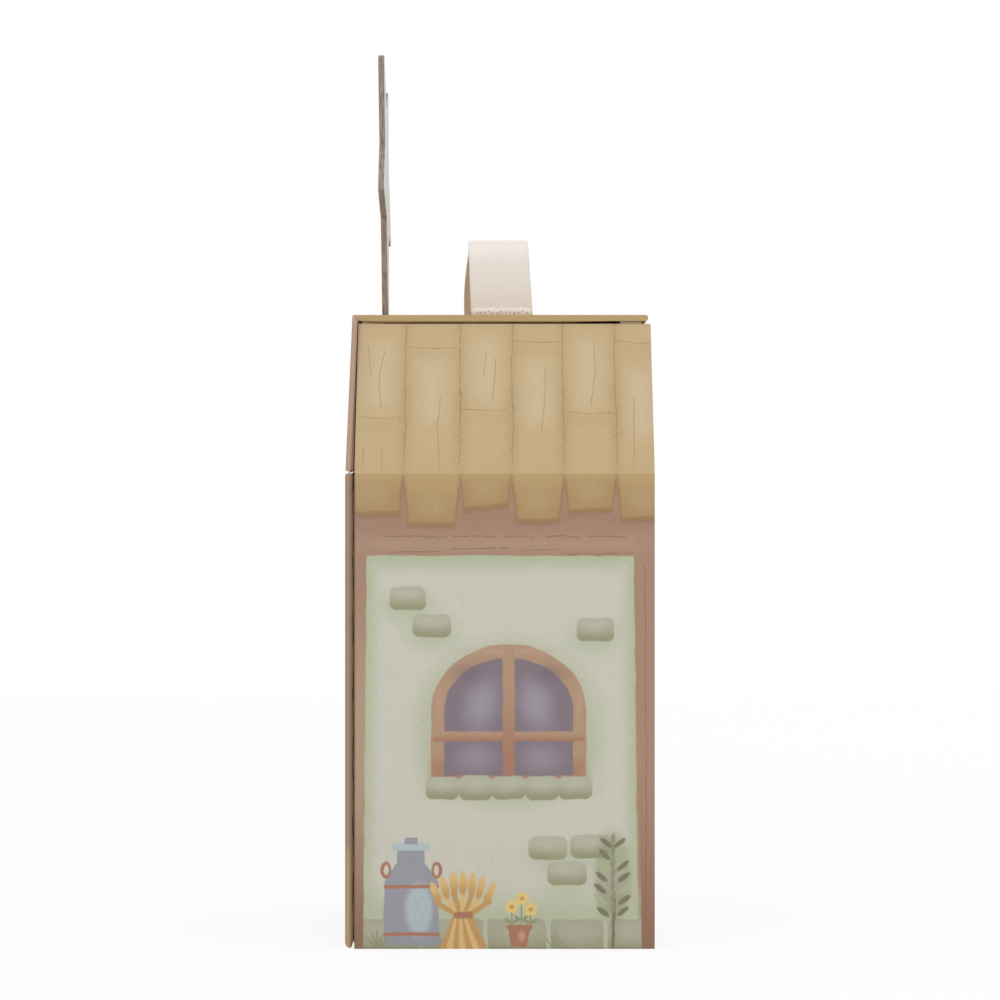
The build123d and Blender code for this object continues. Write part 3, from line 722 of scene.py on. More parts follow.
def draw_pot(picture, x, foot, size):
    """A small pot with yellow flowers."""
    for lean, height in ((-0.2, 1.05), (0.06, 1.25), (0.3, 0.98)):
        picture.flower(x + lean * size, foot + 0.5 * size, (height - 0.5) * size, 0.13 * size)
    picture.taper(x, foot, foot + 0.5 * size, 0.2 * size, 0.3 * size, TERRACOTTA)
    picture.box(x, foot + 0.52 * size, 0.34 * size, 0.06 * size, TERRACOTTA, corner=0.5)
    picture.ellipse(x + 0.06 * size, foot + 0.28 * size, 0.1 * size, 0.14 * size, CREAM, soft=1.0,
                    strength=0.25)


def draw_shrub(picture, x, foot, size):
    """A slender pear-shaped bush on a short stem, with rows of small leaves."""
    s = size
    picture.stroke(x, foot, x + 0.01 * s, foot + 0.4 * s, 0.014 * s, LEAF_DARK, soft=0.25)
    picture.ellipse(x, foot + 0.6 * s, 0.15 * s, 0.36 * s, LEAF, soft=2.2, low=LEAF_DARK, strength=0.55)
    for row in range(7):
        y = foot + (0.3 + 0.095 * row) * s
        reach = (0.105 - 0.012 * abs(row - 2)) * s
        for side in (-1, 1):
            tone = LEAF_DARK if (row + side) % 3 else MOSS
            picture.ellipse(x + side * reach, y, 0.062 * s, 0.021 * s, tone, turn=side * 38, soft=0.25)
        picture.ellipse(x, y + 0.03 * s, 0.05 * s, 0.02 * s, LEAF, turn=80, soft=0.25)


def draw_side(picture):
    """The side wall: roof board ends, beam and posts, plaster, window, stones and farm things."""
    field_left = wall_front + 5.1
    field_right = wall_rear - 8.7
    draw_timber(picture, wall_front, wall_rear, 12)
    draw_plaster(picture, field_left, field_right, -12, 163.8, spread=2.0)
    for x, y, half in ((-38.4, 146.0, 7.6), (-28.5, 134.6, 8.0), (39.6, 133.0, 7.8)):
        picture.ellipse(x, y - 3, half + 3, 7, HALO, soft=4.5, strength=0.6)
        picture.stone(x, y, half, 4.9)
    draw_window(picture, 3.6, 71.4, 32.3, 99.0, 28.0)
    for x, y in ((20.0, 42.0), (37.5, 42.6), (28.0, 31.4)):
        picture.ellipse(x, y - 3, 10, 7, HALO, soft=4.5, strength=0.5)
        picture.stone(x, y, 8.2, 4.9)
    draw_base_stones(picture, field_left - 2, field_right + 3.5, (-33.0, -6.0, 20.0, 44.0))
    for post_x, foot_half, top_half, tone in ((-61.0, 3.9, 5.4, TIMBER_PALE), (66.0, 6.8, 10.2, TIMBER)):
        middle_half = foot_half + (top_half - foot_half) * 0.59
        picture.taper(post_x, -5, 95.4, foot_half, middle_half, tone, low=TIMBER_DARK)
        picture.taper(post_x, 94.4, 164.4, middle_half, top_half, TIMBER, low=tone)
    picture.pencil([(60.6, 12), (60.9, 70), (60.5, 120), (60.3, 160)], half=0.2, strength=0.6)
    draw_churn(picture, -37.0, 1.5, 46.0)
    draw_sheaf(picture, -15.5, 1.0, 31.0)
    draw_pot(picture, 8.0, 0.8, 16.0)
    picture.tuft(-51.5, 0.4, 7.0)
    picture.tuft(22.5, 0.4, 6.0)
    draw_shrub(picture, 47.0, 0.6, 50.0)
    draw_board_ends(picture, wall_front, wall_rear)


def draw_slope(picture):
    """The roof slope: boards from the eave to the lid."""
    draw_roof(picture, wall_front, wall_rear)


def draw_planks(picture):
    """Plain upright planks, for the inside of the case."""
    picture.fill(PLANK)
    for k in range(-7, 8):
        x = 15.5 * k + (1.5 if k % 2 else -1.0)
        picture.stroke(x, 0, x + 0.4, 270, 0.25, TIMBER_DARK, soft=0.8, strength=0.35)
        picture.ellipse(x + 7, 60 + 37 * ((k * 5) % 4), 4.5, 30, CREAM, soft=6, strength=0.16)
    picture.box(0, 0, 120, 9, STRAW, soft=5, strength=0.8)


def edge_shade(material, colour, front, lean):
    """Painted shade on a cover's side edge, darker towards its rims; front is the front face's Y at the
    table.
    """
    depth = material.scaled(material.axes.outputs["Z"], -MM * lean, material.axis("Y", front))
    rim_depth = 0.5
    back_from = 1.2
    back_to = 2.4
    rim = material.minus(1.0, material.ramp(depth, rim_depth / 10, rim_depth))
    back = material.ramp(depth, back_from, back_to)
    shade = material.plus(material.times(rim, 0.8), material.times(back, 0.7))
    side = material.facing((1, 0, 0), 0.6, 0.9)
    return material.mix(material.times(shade, side), colour, ink(116, 90, 72))


def printed(name, across, facing, outside, inside, gloss=0.5, edge=None):
    """A board wrapped in printed paper: one picture outside and round the edges, one inside."""
    material = Material(name)
    u = material.axis(across)
    v = material.axis("Z")
    outer = material.show(Picture(name + "_outside", outside), u, v)
    inner = material.show(inside, u, v)
    back = tuple(-value for value in facing)
    colour = material.mix(material.facing(back), outer, inner)
    colour = material.tint(colour, 60, 0.03)
    colour = material.tint(colour, 1500, 0.035, detail=1.0)
    # Painted shade along the rims of the side edge, for the door and the gable flap
    if edge is not None:
        colour = edge_shade(material, colour, *edge)
    threads = material.weave(across)
    colour = material.mix(material.times(threads, 0.14), colour, ink(150, 128, 96))
    waves = material.noise(material.place, 14, 1.0)
    return material.finish(colour, gloss, bumps=((threads, 0.00003), (waves, 0.0006)))


def draw_front(picture):
    """The door panel: timber frame, plaster, a pair of plank doors in an arch, hay and stones."""
    picture.fill(TIMBER)
    draw_plaster(picture, -102.5, 102.5, -12, 186)
    picture.box(0, 190.5, 112, 4.5, TIMBER, corner=0.3)
    picture.pencil([(-100, 190.4), (-30, 191.2), (100, 190.2)])
    for side in (-1, 1):
        picture.pencil([(side * 106, 44), (side * 105.6, 110), (side * 106.2, 184)], strength=0.5)
        picture.stroke(side * 100, 150, side * 68, 186, 3.4, TIMBER)
    picture.ellipse(0, 96, 60, 66, HALO, soft=8, strength=0.7)
    for k in range(12):
        turn = 17.8 * k - 8
        x = 56 * cos(radians(turn))
        y = 98 + 58 * sin(radians(turn))
        picture.ellipse(x, y, 8.4, 5.8, STONE_TOP, turn=turn - 90, soft=0.35, low=STONE_LOW)
    picture.arch(0, 0, 98, 50, 52, WINDOW)
    picture.arch(0, -2, 98, 44.5, 46.5, ink(150, 115, 92))
    for k in range(-4, 5):
        x = k * 9.9
        top = 98 + 46 * (1 - (k / 4.6) ** 2) ** 0.5
        picture.stroke(x, 0, x, top, 0.35, TIMBER_DARK, soft=0.35)
        picture.ellipse(x + 5, 70 + 9 * (k % 3), 2.6, 34, TIMBER_LIGHT, soft=3, strength=0.3)
    picture.stroke(0, 0, 0, 145, 0.7, ink(120, 90, 72))
    for side in (-1, 1):
        for y in (36, 104):
            picture.stroke(side * 43, y, side * 12, y, 1.9, CHURN)
            picture.ellipse(side * 12, y, 3.2, 3.2, CHURN)
        picture.ellipse(side * 5.5, 70, 2.4, 3.4, ink(104, 92, 92))
        picture.stone(side * 78, 132, 9, 5)
        picture.stone(side * 91, 121, 8, 4.8)
        picture.stone(side * 84, 84, 8.6, 5)
    draw_base_stones(picture, -102.5, -50, (-88, -68))
    draw_base_stones(picture, 50, 102.5, (64, 86))
    for side in (-1, 1):
        picture.ellipse(side * 86, 2, 30, 26, STRAW, soft=1.4)
        picture.ellipse(side * 106, 0, 15, 43, STRAW, soft=1.0)
        for k in range(34):
            x = 60 + 1.5 * k
            mound = 26 * max(0.0, 1 - ((x - 86) / 30) ** 2) ** 0.5
            heap = 43 * max(0.0, 1 - ((x - 106) / 15) ** 2) ** 0.5
            top = max(mound, heap)
            foot = 3 + (top - 3) * ((k * 7) % 11) / 14
            tone = (STRAW_LIGHT, WHEAT_DARK, WHEAT, STRAW_LIGHT)[k % 4]
            lean = 3.2 * sin(k * 1.9)
            picture.stroke(side * x, foot, side * (x + lean), foot + 7 + (k * 5) % 6, 0.26, tone, soft=0.25,
                           strength=0.8)
    draw_churn(picture, -66, 2, 40)
    draw_shrub(picture, 68, 2, 42)


def draw_gable(picture):
    """The gable flap: roof boards along its slopes, timber truss, plaster and a round window."""
    picture.fill(TIMBER)
    picture.taper(0, 204, 262, 92, 43, HALO, soft=0.4)
    picture.taper(0, 207, 259, 84, 38, PLASTER, soft=5)
    for side in (-1, 1):
        picture.stroke(side * 20, 203, side * 52, 240, 3.1, TIMBER)
        picture.pencil([(side * 22, 204), (side * 51, 239)])
        picture.stroke(side * 101, 203, side * 53, 261, 4.4, ROOF_LOW, soft=0.6)
        picture.stroke(side * 111, 199, side * 57, 265, 2.0, TIMBER_LIGHT, soft=0.6)
        for k in range(6):
            share = k / 5
            x = 106 - 48 * share
            y = 203 + 58 * share
            picture.stroke(side * x, y - 4, side * (x - 8), y - 9, 0.2, ROOF_END, strength=0.8)
    picture.stroke(0, 203, 0, 262, 3.0, TIMBER)
    picture.ellipse(0, 234, 19, 19, HALO, soft=4, strength=0.8)
    picture.ellipse(0, 234, 16.5, 16.5, WINDOW)
    picture.ellipse(0, 234, 12.2, 12.2, PANE)
    picture.ellipse(-3, 237, 6, 5, PANE_GLOW, soft=4, strength=0.8)
    picture.box(0, 234, 1.5, 12.6, WINDOW)
    picture.box(0, 234, 12.6, 1.5, WINDOW)
    picture.box(0, 202, 105, 3.4, TIMBER)
    picture.pencil([(-96, 202), (0, 202.8), (98, 201.8)])
    picture.box(0, 264.5, 60, 2.0, TIMBER_PALE, soft=0.4)


def draw_back(picture):
    """The rear wall: beam, posts and plaster, a shuttered window, stones and plants."""
    picture.fill(ROOF)
    picture.taper(0, -20, 262, 150, 50, TIMBER, soft=0.4)
    picture.box(0, 80, 108, 118, TIMBER, soft=0.4)
    draw_plaster(picture, -98, -3.5, -12, 188)
    draw_plaster(picture, 3.5, 98, -12, 188)
    picture.taper(0, 199, 252, 84, 41, HALO, soft=0.4)
    picture.taper(0, 203, 249, 76, 35, PLASTER, soft=5)
    for side in (-1, 1):
        picture.stroke(side * 8, 200, side * 44, 250, 3.2, TIMBER)
    picture.stroke(0, 190, 0, 256, 3.2, TIMBER)
    picture.pencil([(-96, 193), (0, 194), (98, 192.6)])
    for side in (-1, 1):
        x = side * 50
        picture.ellipse(x, 112, 32, 30, HALO, soft=7, strength=0.7)
        picture.box(x, 112, 19, 21, WINDOW, corner=1.2)
        picture.box(x, 112, 14.5, 16.5, PANE, corner=0.6)
        picture.ellipse(x - 3, 116, 7, 8, PANE_GLOW, soft=5, strength=0.8)
        picture.box(x, 112, 1.6, 17, WINDOW)
        picture.box(x, 112, 15, 1.6, WINDOW)
        for k in range(4):
            picture.stone(x - 16.5 + 11 * k, 86.5, 5.7, 4.6)
        picture.stone(side * 76, 156, 8.4, 4.8)
        picture.stone(side * 64, 146, 8, 4.8)
        draw_base_stones(picture, min(side * 3.5, side * 98), max(side * 3.5, side * 98),
                         (side * 50 - 22, side * 50 + 4, side * 50 + 27))
    draw_shrub(picture, -76, 1, 48)
    draw_sheaf(picture, -26, 1, 34)
    draw_churn(picture, 30, 1, 44)
    draw_pot(picture, 72, 1, 17)
    picture.tuft(-50, 0.5, 7)
    picture.tuft(52, 0.5, 6)


def draw_lid(picture):
    """The lid, seen from above: roof boards running from side to side."""
    picture.fill(ink(184, 158, 113))
    for k in range(-3, 4):
        y = 18.0 * k
        picture.stroke(-60, y, 60, y + 0.4, 0.5, ROOF_SHADE, soft=2.6, strength=0.6)
        picture.pencil([(-60, y), (-10, y + 0.5), (60, y - 0.2)])
        picture.ellipse(-20 + 13 * ((k * 3) % 4), y + 9, 22, 4.5, ROOF_GLOW, soft=5, strength=0.6)
        crack_x = -36 + 17 * ((k * 5) % 5)
        picture.pencil([(crack_x, y + 8), (crack_x + 14, y + 9.2)], dashed=False, strength=0.4)


def draw_meadow(picture):
    """The inside of the door, which lies in front of the stable when it is down."""
    picture.fill(ink(182, 188, 152))
    picture.ellipse(0, 60, 46, 90, ink(208, 194, 154), soft=16, strength=0.6)
    for k in range(26):
        x = -100 + (k * 47) % 201
        y = 12 + (k * 31) % 170
        picture.tuft(x, y, 5)
    for k in range(8):
        picture.stone(-94 + (k * 59) % 190, 20 + (k * 43) % 160, 5.5, 3.2)


def draw_night(picture):
    """The inside of the gable flap and the top of the rear wall: a dusk sky with small dots."""
    picture.fill(ink(152, 148, 164))
    for k in range(22):
        x = -96 + (k * 41) % 195
        y = 203 + (k * 17) % 56
        picture.ellipse(x, y, 0.8 + 0.3 * (k % 3), 0.8 + 0.3 * (k % 3), CREAM, soft=0.4)


planks = Picture("planks", draw_planks)
side_print = printed("side_print", "Y", (1, 0, 0), draw_side, planks)
roof_print = printed("roof_print", "Y", (0.767, 0, 0.642), draw_slope, planks)
for side in ("right", "left"):
    paint("side_wall_" + side, side_print)
    paint("roof_slope_" + side, roof_print)
flap_slant = tan(radians(1.0))
flap_foot = flap_low[1] - flap_slant * flap_low[2]
meadow = Picture("meadow", draw_meadow)
night = Picture("night", draw_night)
paint("front_door", printed("door_print", "X", (0, -1, 0), draw_front, meadow, edge=(door_low[1], 0.0)))
paint("gable_flap", printed("gable_print", "X", (0, -1, 0), draw_gable, night, edge=(flap_foot, flap_slant)))
paint("rear_wall", printed("rear_print", "X", (0, 1, 0), draw_back, planks))


def lid_material():
    """The lid's printed paper, drawn in X and Y, plain underneath."""
    material = Material("lid_print")
    boards = material.show(Picture("lid_boards", draw_lid), material.axis("X"), material.axis("Y"))
    under = material.facing((0, 0, -1))
    upward = material.facing((0, 0, 1), 0.5, 0.9)
    colour = material.mix(upward, LID_EDGE, boards)
    colour = material.mix(under, colour, PLANK)
    colour = material.tint(colour, 60, 0.04)
    colour = material.tint(colour, 1500, 0.035, detail=1.0)
    linen = material.noise(material.place, 2600, 1.0)
    return material.finish(colour, 0.5, bumps=((linen, 0.00003),))


paint("top_board", lid_material())


# Plain card, paper, steel


def card(name, colour, speckle=0.05, roughness=0.75):
    """Plain card or paper with short fibres."""
    material = Material(name)
    shade = material.tint(colour, 90, 0.05)
    shade = material.tint(shade, 2200, speckle, detail=2.0)
    fibres = material.noise(material.place, 1800, 3.0)
    return material.finish(shade, roughness, bumps=((fibres, 0.00005),), specular=0.25)


def board_edge():
    """Grey board, with the layers of its pulp on the cut edge."""
    material = Material("grey_board")
    layers = material.streaks((0.08, 1.0, 0.08), 2400, 3.0, 0.6)
    colour = material.mix(material.ramp(layers, 0.34, 0.66), ink(120, 104, 99), ink(164, 151, 145))
    colour = material.tint(colour, 1600, 0.14)
    fibres = material.noise(material.place, 2400, 3.0)
    return material.finish(colour, 0.9, bumps=((fibres, 0.00006),), specular=0.2)


def draw_straw(picture):
    """Straw strewn over the floor of the case."""
    picture.fill(ink(200, 172, 120))
    for k in range(60):
        x = -104 + (k * 67) % 208
        y = -57 + (k * 29) % 116
        lean = radians(k * 47 % 180)
        tone = CREAM if k % 3 else WHEAT_DARK
        picture.stroke(x, y, x + 9 * cos(lean), y + 9 * sin(lean), 0.3, tone, strength=0.7)


def floor_print():
    """The printed floor of the case."""
    material = Material("floor_print")
    straw = material.show(Picture("straw", draw_straw), material.axis("X"), material.axis("Y"))
    colour = material.tint(straw, 120, 0.05)
    fibres = material.noise(material.place, 1800, 3.0)
    return material.finish(colour, 0.7, bumps=((fibres, 0.00004),), specular=0.25)


lining = card("lining_card", ink(190, 163, 130))
hinge_paper = card("hinge_paper", ink(199, 173, 134), speckle=0.03)
grey_board = board_edge()
paint("base_board", floor_print())
for node in ("front_frame_right", "front_frame_left", "gable_frame_right", "gable_frame_left",
             "lid_ledge_right", "lid_ledge_left", "handle_patch"):
    paint(node, lining)
paint("lid_stops", card("stop_card", ink(206, 190, 158)))
for node in ("base_hinge_leaf", "rear_hinge_leaf", "door_hinge_leaf", "lid_hinge_leaf"):
    paint(node, hinge_paper)


def steel_material():
    """Nickel-plated magnets with fine turning marks."""
    material = Material("magnet_nickel")
    marks = material.noise(material.place, 4000, 2.0)
    rough = material.scaled(marks, 0.2, 0.22)
    material.shader.inputs["Metallic"].default_value = 1.0
    return material.finish(ink(196, 196, 198), rough, bumps=((marks, 0.00001),))


magnet_nickel = steel_material()
for node in ("frame_magnets", "door_magnets", "flap_magnets"):
    paint(node, magnet_nickel)


# Star


star_height_over_lid = 63.2
star_turn = 26
star_middle = lid_top + star_height_over_lid


def draw_star(picture):
    """Golden paper with a paler middle, pencilled rays and small dots."""
    centre = star_middle
    picture.fill(ink(216, 184, 118))
    picture.ellipse(0, centre, 24, 24, ink(232, 208, 150), soft=14)
    for k in range(5):
        angle = radians(90 - star_turn + 72 * k)
        tip = (47 * cos(angle), centre + 47 * sin(angle))
        picture.stroke(0, centre, *tip, 0.2, WHEAT_DARK, strength=0.5)
        for step in range(4):
            reach = 20 + 8 * step
            turn = angle + 0.1
            picture.ellipse(reach * cos(turn), centre + reach * sin(turn), 0.8, 0.8, CREAM, soft=0.4)


def star_print():
    """The star's printed front."""
    material = Material("star_front_print")
    gold = material.show(Picture("star_gold", draw_star), material.axis("X"), material.axis("Z"))
    colour = material.tint(gold, 80, 0.05)
    colour = material.tint(colour, 1500, 0.04, detail=1.0)
    return material.finish(colour, 0.5)


paint("star_core", grey_board)
paint("star_front_paper", star_print())
paint("star_back_paper", card("star_back_print", ink(212, 212, 208), speckle=0.03, roughness=0.6))


# Small pieces


def add_piece(name, verts, faces, material, body, slot, smooth=False):
    """A piece of the scene from a mesh in millimetres, riding on a body unless that is None."""
    mesh = bpy.data.meshes.new(name)
    mesh.from_pydata([(x / MM, y / MM, z / MM) for x, y, z in verts], [], faces)
    mesh.update()
    piece = bpy.data.objects.new(name, mesh)
    bpy.context.scene.collection.objects.link(piece)
    mesh.materials.append(material)
    for polygon in mesh.polygons:
        polygon.use_smooth = smooth
    if body is not None:
        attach(piece, body)
    return piece


SIDES = {1: "right", -1: "left"}


def add_band(name, sections, *where, smooth=False):
    """A closed band through rings of points, as a piece; where is its material, body and slot, and the slot
    is not used.
    """
    return add_piece(name, *ribbon(sections), *where, smooth=smooth)


def joined(parts):
    """The vertices and faces of several meshes as one."""
    verts = []
    faces = []
    for more_verts, more_faces in parts:
        offset = len(verts)
        verts += more_verts
        faces += [tuple(index + offset for index in face) for face in more_faces]
    return verts, faces


def ribbon(sections):
    """Vertices and faces of a closed band through rings of points, capped at both ends."""
    count = len(sections[0])
    verts = [point for ring in sections for point in ring]
    faces = [tuple(range(count - 1, -1, -1))]
    for row in range(len(sections) - 1):
        start = row * count
        for k in range(count):
            after = (k + 1) % count
            faces.append((start + k, start + after, start + count + after, start + count + k))
    last = (len(sections) - 1) * count
    faces.append(tuple(last + k for k in range(count)))
    return verts, faces


def tube(points, radius, sides=8):
    """A round thread through points, as a closed mesh."""
    rings = []
    for k, point in enumerate(points):
        before = Vector(points[max(k - 1, 0)])
        after = Vector(points[min(k + 1, len(points) - 1)])
        run = (after - before).normalized()
        across = run.orthogonal().normalized()
        beside = run.cross(across)
        size = radius * (0.55 if k in (0, len(points) - 1) else 1.0)
        ring = []
        for side in range(sides):
            angle = 2 * pi * side / sides
            ring.append(tuple(Vector(point) + across * size * cos(angle) + beside * size * sin(angle)))
        rings.append(ring)
    return ribbon(rings)


def wander(value, seed):
    """A smooth, uneven number between -1 and 1 that changes along a length."""
    slow = sin(value * 0.9 + seed)
    quicker = 0.6 * sin(value * 2.3 + 2.1 * seed)
    quickest = 0.4 * sin(value * 5.1 + seed * 3)
    return (slow + quicker + quickest) / 2


# Carry handle: woven webbing


def strap_line(samples):
    """Points and normals along the loop, in X and Z, from one tail to the other."""
    span = strap_reach - 0.8
    foot = lid_top - 4.2
    top = strap_high[2] - 0.8
    corner = 9.0
    straight = top - corner - foot
    arc = pi / 2 * corner
    flat = span - corner
    half_length = straight + arc + flat
    places = []
    for k in range(samples + 1):
        run = 2 * half_length * k / samples
        side = 1 if run <= half_length else -1
        run = min(run, 2 * half_length - run)
        if run < straight:
            x, z = span, foot + run
        elif run < straight + arc:
            angle = (run - straight) / corner
            x = span - corner + corner * cos(angle)
            z = top - corner + corner * sin(angle)
        else:
            x, z = span - corner - (run - straight - arc), top
        lean = min(max((z - lid_top) / (top - lid_top), 0.0), 1.0)
        bow = 0.5 * sin(pi * min(max(1 - x / span, 0.0), 1.0) / 2) - 0.5
        places.append((side * (x - 1.3 * lean * lean * (x / span)), z + bow * lean))
    points = []
    for k, (x, z) in enumerate(places):
        before = places[max(k - 1, 0)]
        after = places[min(k + 1, samples)]
        run_x = after[0] - before[0]
        run_z = after[1] - before[1]
        length = hypot(run_x, run_z)
        points.append((x, z, run_z / length, -run_x / length))
    return points


def strap_sections():
    """Rings of points along the webbing, with raised ribs and rounded selvedges."""
    thick = 1.5
    width = 25.8
    along = 420
    across = 58
    sections = []
    for row, (x, z, normal_x, normal_z) in enumerate(strap_line(along)):
        up = min(max((z - lid_top - 1.0) / 30, 0.0), 1.0)
        toward = max(-1.0, min(1.0, x / 30))
        # The near leg leans back a little as it rises, and the far leg bows forward
        near = 1.9 - 1.6 * up
        far = 1.35 * up - 1.45 - 0.9 * sin(pi * up)
        shift = near * (1 + toward) / 2 + far * (1 - toward) / 2
        swell = 0.9 * min(max((z - lid_top - 0.6) / 2.0, 0.0), 1.0) * (1 - up)
        ring = []
        for side in (1, -1):
            for column in range(across + 1):
                share = column / across if side == 1 else 1 - column / across
                edge = abs(share * 2 - 1)
                half = thick / 2 * (1 - 0.55 * max(0.0, (edge - 0.9) / 0.1) ** 2)
                rib = 0.045 * (1 if (row // 3 + column // 2) % 2 == 0 else -1)
                selvedge = 0.12 if edge > 0.9 and row % 3 == 0 else 0.0
                lift = half + rib * (0 if edge > 0.97 else 1)
                y = strap_middle + shift + (share - 0.5) * (width + selvedge + swell)
                ring.append((x + side * lift * normal_x, y, z + side * lift * normal_z))
        sections.append(ring)
    return sections


def webbing_material():
    """Undyed cotton webbing: a honeycomb weave, slubs, a soft fuzz and painted shade on the loop's inner
    side.
    """
    material = Material("cotton_webbing")
    u = material.axis("Y")
    v = material.axis("Z")
    rows = material.math("SINE", material.times(v, 3.5))
    columns = material.math("SINE", material.times(u, 3.5))
    wave = material.times(rows, columns)
    slub = material.noise(material.place, 420, 3.0)
    fuzz = material.noise(material.place, 5200, 2.0)
    colour = material.mix(material.ramp(wave, -0.8, 0.5), ink(229, 219, 210), ink(238, 231, 223))
    # Painted shade: the side of the loop that faces in and down is darkened to a tan
    painted_inner_shade = material.facing((-1, 0, -0.4), 0.2, 0.7)
    colour = material.mix(painted_inner_shade, colour, ink(206, 184, 156))
    colour = material.tint(colour, 300, 0.03)
    colour = material.tint(colour, 3800, 0.04)
    height = material.plus(material.times(wave, 0.5), slub)
    return material.finish(colour, 0.95, bumps=((height, 0.00007), (fuzz, 0.00006)), sheen=0.3, specular=0.1)


cotton = webbing_material()
strap = add_band("carry_strap", strap_sections(), cotton, "top_lid", "webbing", smooth=True)
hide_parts("carry_handle")


# Small paper and thread details


def seam_paper():
    """The cracked white fold of the covering paper along the top edge of the door."""
    parts = []
    patches = 26
    pitch = (2 * half_width - 0.3) / patches
    top = door_high[2]
    for patch in range(patches):
        left = -half_width + 0.15 + patch * pitch
        right = left + pitch - (0.5 if patch < patches - 1 else 0.0)
        sections = []
        for step in range(13):
            x = left + (right - left) * step / 12
            jag = 0.14 * wander(3.1 * x, 8.0)
            front = door_low[1] + 0.3 + 0.2 * wander(x, 2.0)
            back = door_high[1] + 0.75 + 0.15 * wander(x, 3.0)
            middle = (front + back) / 2 + 0.4 * wander(x, 4.0)
            sections.append([(x, front, top - 0.3), (x, door_high[1] - 0.1, top - 0.3), (x, back, top + 0.3),
                             (x, back, top + 0.9 + jag), (x, middle, top + 0.45 + 0.2 * wander(x, 1.0)),
                             (x, middle - 0.5, top + 0.25 - jag), (x, front, top + 0.12)])
        parts.append(ribbon(sections))
    return add_piece("seam_paper", *joined(parts), fold_white, "front_door", "hinge_paper")


turn_in_steps = 90
turn_in_foot = 2.6


def turned_edge(x_out, x_in, face, swell_out, swell_in, z, sunk=0.3):
    """A section of paper turned in over a board: sunk in its face, and swollen behind it."""
    return [(x_out, face - sunk, z), (x_out, face + swell_out, z),
            (x_in, face + swell_in, z), (x_in, face - sunk, z)]


def door_turn_in(side):
    """The edge of the door's covering paper, turned in along its back near the side."""
    sections = []
    x_out = side * (half_width - 0.04)
    x_in = side * (half_width - 3.0)
    for step in range(turn_in_steps + 1):
        z = turn_in_foot + (door_high[2] - 3.0) * step / turn_in_steps
        swell = 0.62 + 0.14 * wander(z / 4, 5.0 + side)
        sections.append(turned_edge(x_out, x_in, door_high[1], swell, swell * 0.6, z))
    return add_band("door_turn_in_" + SIDES[side], sections, brown_paper, "front_door", "printed_card")


def wall_turn_in(side):
    """The side wall's covering paper, wrapped round its front edge."""
    sections = []
    x_out = side * (half_width - 0.04)
    x_in = side * (half_width - 2.6)
    for step in range(turn_in_steps + 1):
        z = turn_in_foot + (eave - 3.2) * step / turn_in_steps
        swell = 0.28 + 0.12 * wander(z / 3, 2.0 + side)
        sections.append(turned_edge(x_out, x_in, wall_front, -swell, -swell * 0.5, z, sunk=-0.3))
    return add_band("wall_turn_in_" + SIDES[side], sections, brown_paper, "case", "printed_card")


def flap_turn_in(side):
    """The gable flap's covering paper, turned in along its slanting side; it thins towards the lid."""
    thickness = 2.3
    foot = (half_width - 0.5, flap_low[1] + thickness, flap_low[2] + 0.3)
    head = (board_high[0] + 1.0, flap_high[1] - 0.04, slope_top - 1.0)
    sections = []
    steps = 60
    for step in range(steps + 1):
        share = step / steps
        x, y, z = (start + (end - start) * share for start, end in zip(foot, head))
        swell = 0.98 - 0.92 * share + 0.08 * wander(z / 3, 7.0 + side) * (1 - share)
        sections.append(turned_edge(side * (x + 0.3), side * (x - 3.2), y, swell, swell * 0.6, z))
    return add_band("flap_turn_in_" + SIDES[side], sections, brown_paper, "gable_flap", "printed_card")


def lid_turn_in(side):
    """The lid's covering paper, turned in under its side edge."""
    sections = []
    x_out = side * (board_high[0] - 0.1)
    x_in = side * (board_high[0] - 2.4)
    start = board_low[1] + 4.0
    length = 112.0
    under = board_low[2]
    steps = 60
    for step in range(steps + 1):
        y = start + length * step / steps
        ends = min(1.0, step / 3, (steps - step) / 12)
        drop = (0.85 - 0.35 * step / steps + 0.08 * wander(y / 5, 9.0 + side)) * max(ends, 0.15)
        sections.append([(x_out, y, under + 0.2), (x_out, y, under - drop * 0.7),
                         ((x_out + x_in) / 2, y, under - drop), (x_in, y, under - drop * 0.7),
                         (x_in, y, under + 0.2)])
    name = "lid_turn_in_" + SIDES[side]
    return add_band(name, sections, ochre_paper, "top_lid", "printed_card", smooth=True)


def hinge_fold(name, places, reach):
    """Paper that covers the corner between two hinge leaves."""
    thick = 0.22
    sections = []
    count = 60
    for step in range(count + 1):
        x = -reach + 2 * reach * step / count
        under = []
        over = []
        for k, (y, z) in enumerate(places):
            before = places[max(k - 1, 0)]
            after = places[min(k + 1, len(places) - 1)]
            run_y = after[0] - before[0]
            run_z = after[1] - before[1]
            length = hypot(run_y, run_z)
            lift = thick + 0.08 * wander(x / 3 + k, 11.0) * sin(pi * k / (len(places) - 1))
            under.append((x, y, z))
            over.append((x, y + lift * run_z / length, z - lift * run_y / length))
        sections.append(under + over[::-1])
    piece = add_band(name, sections, hinge_paper, None, "hinge_paper")
    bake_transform(piece)
    return piece


def lid_hinge_fold():
    """The fold between the leaf on the rear wall and the leaf under the lid."""
    rear = limits("rear_hinge_leaf")[0][1] - 0.04
    under = limits("lid_hinge_leaf")[0][2] - 0.04
    reach = limits("lid_hinge_leaf")[1][0] - 0.3
    places = [(rear - 4.6, under), (rear - 2.6, under), (rear - 1.5, under - 0.15),
              (rear - 0.6, under - 0.6), (rear - 0.15, under - 1.5), (rear, under - 2.6),
              (rear, under - 4.6)]
    return hinge_fold("lid_hinge_fold", places, reach)


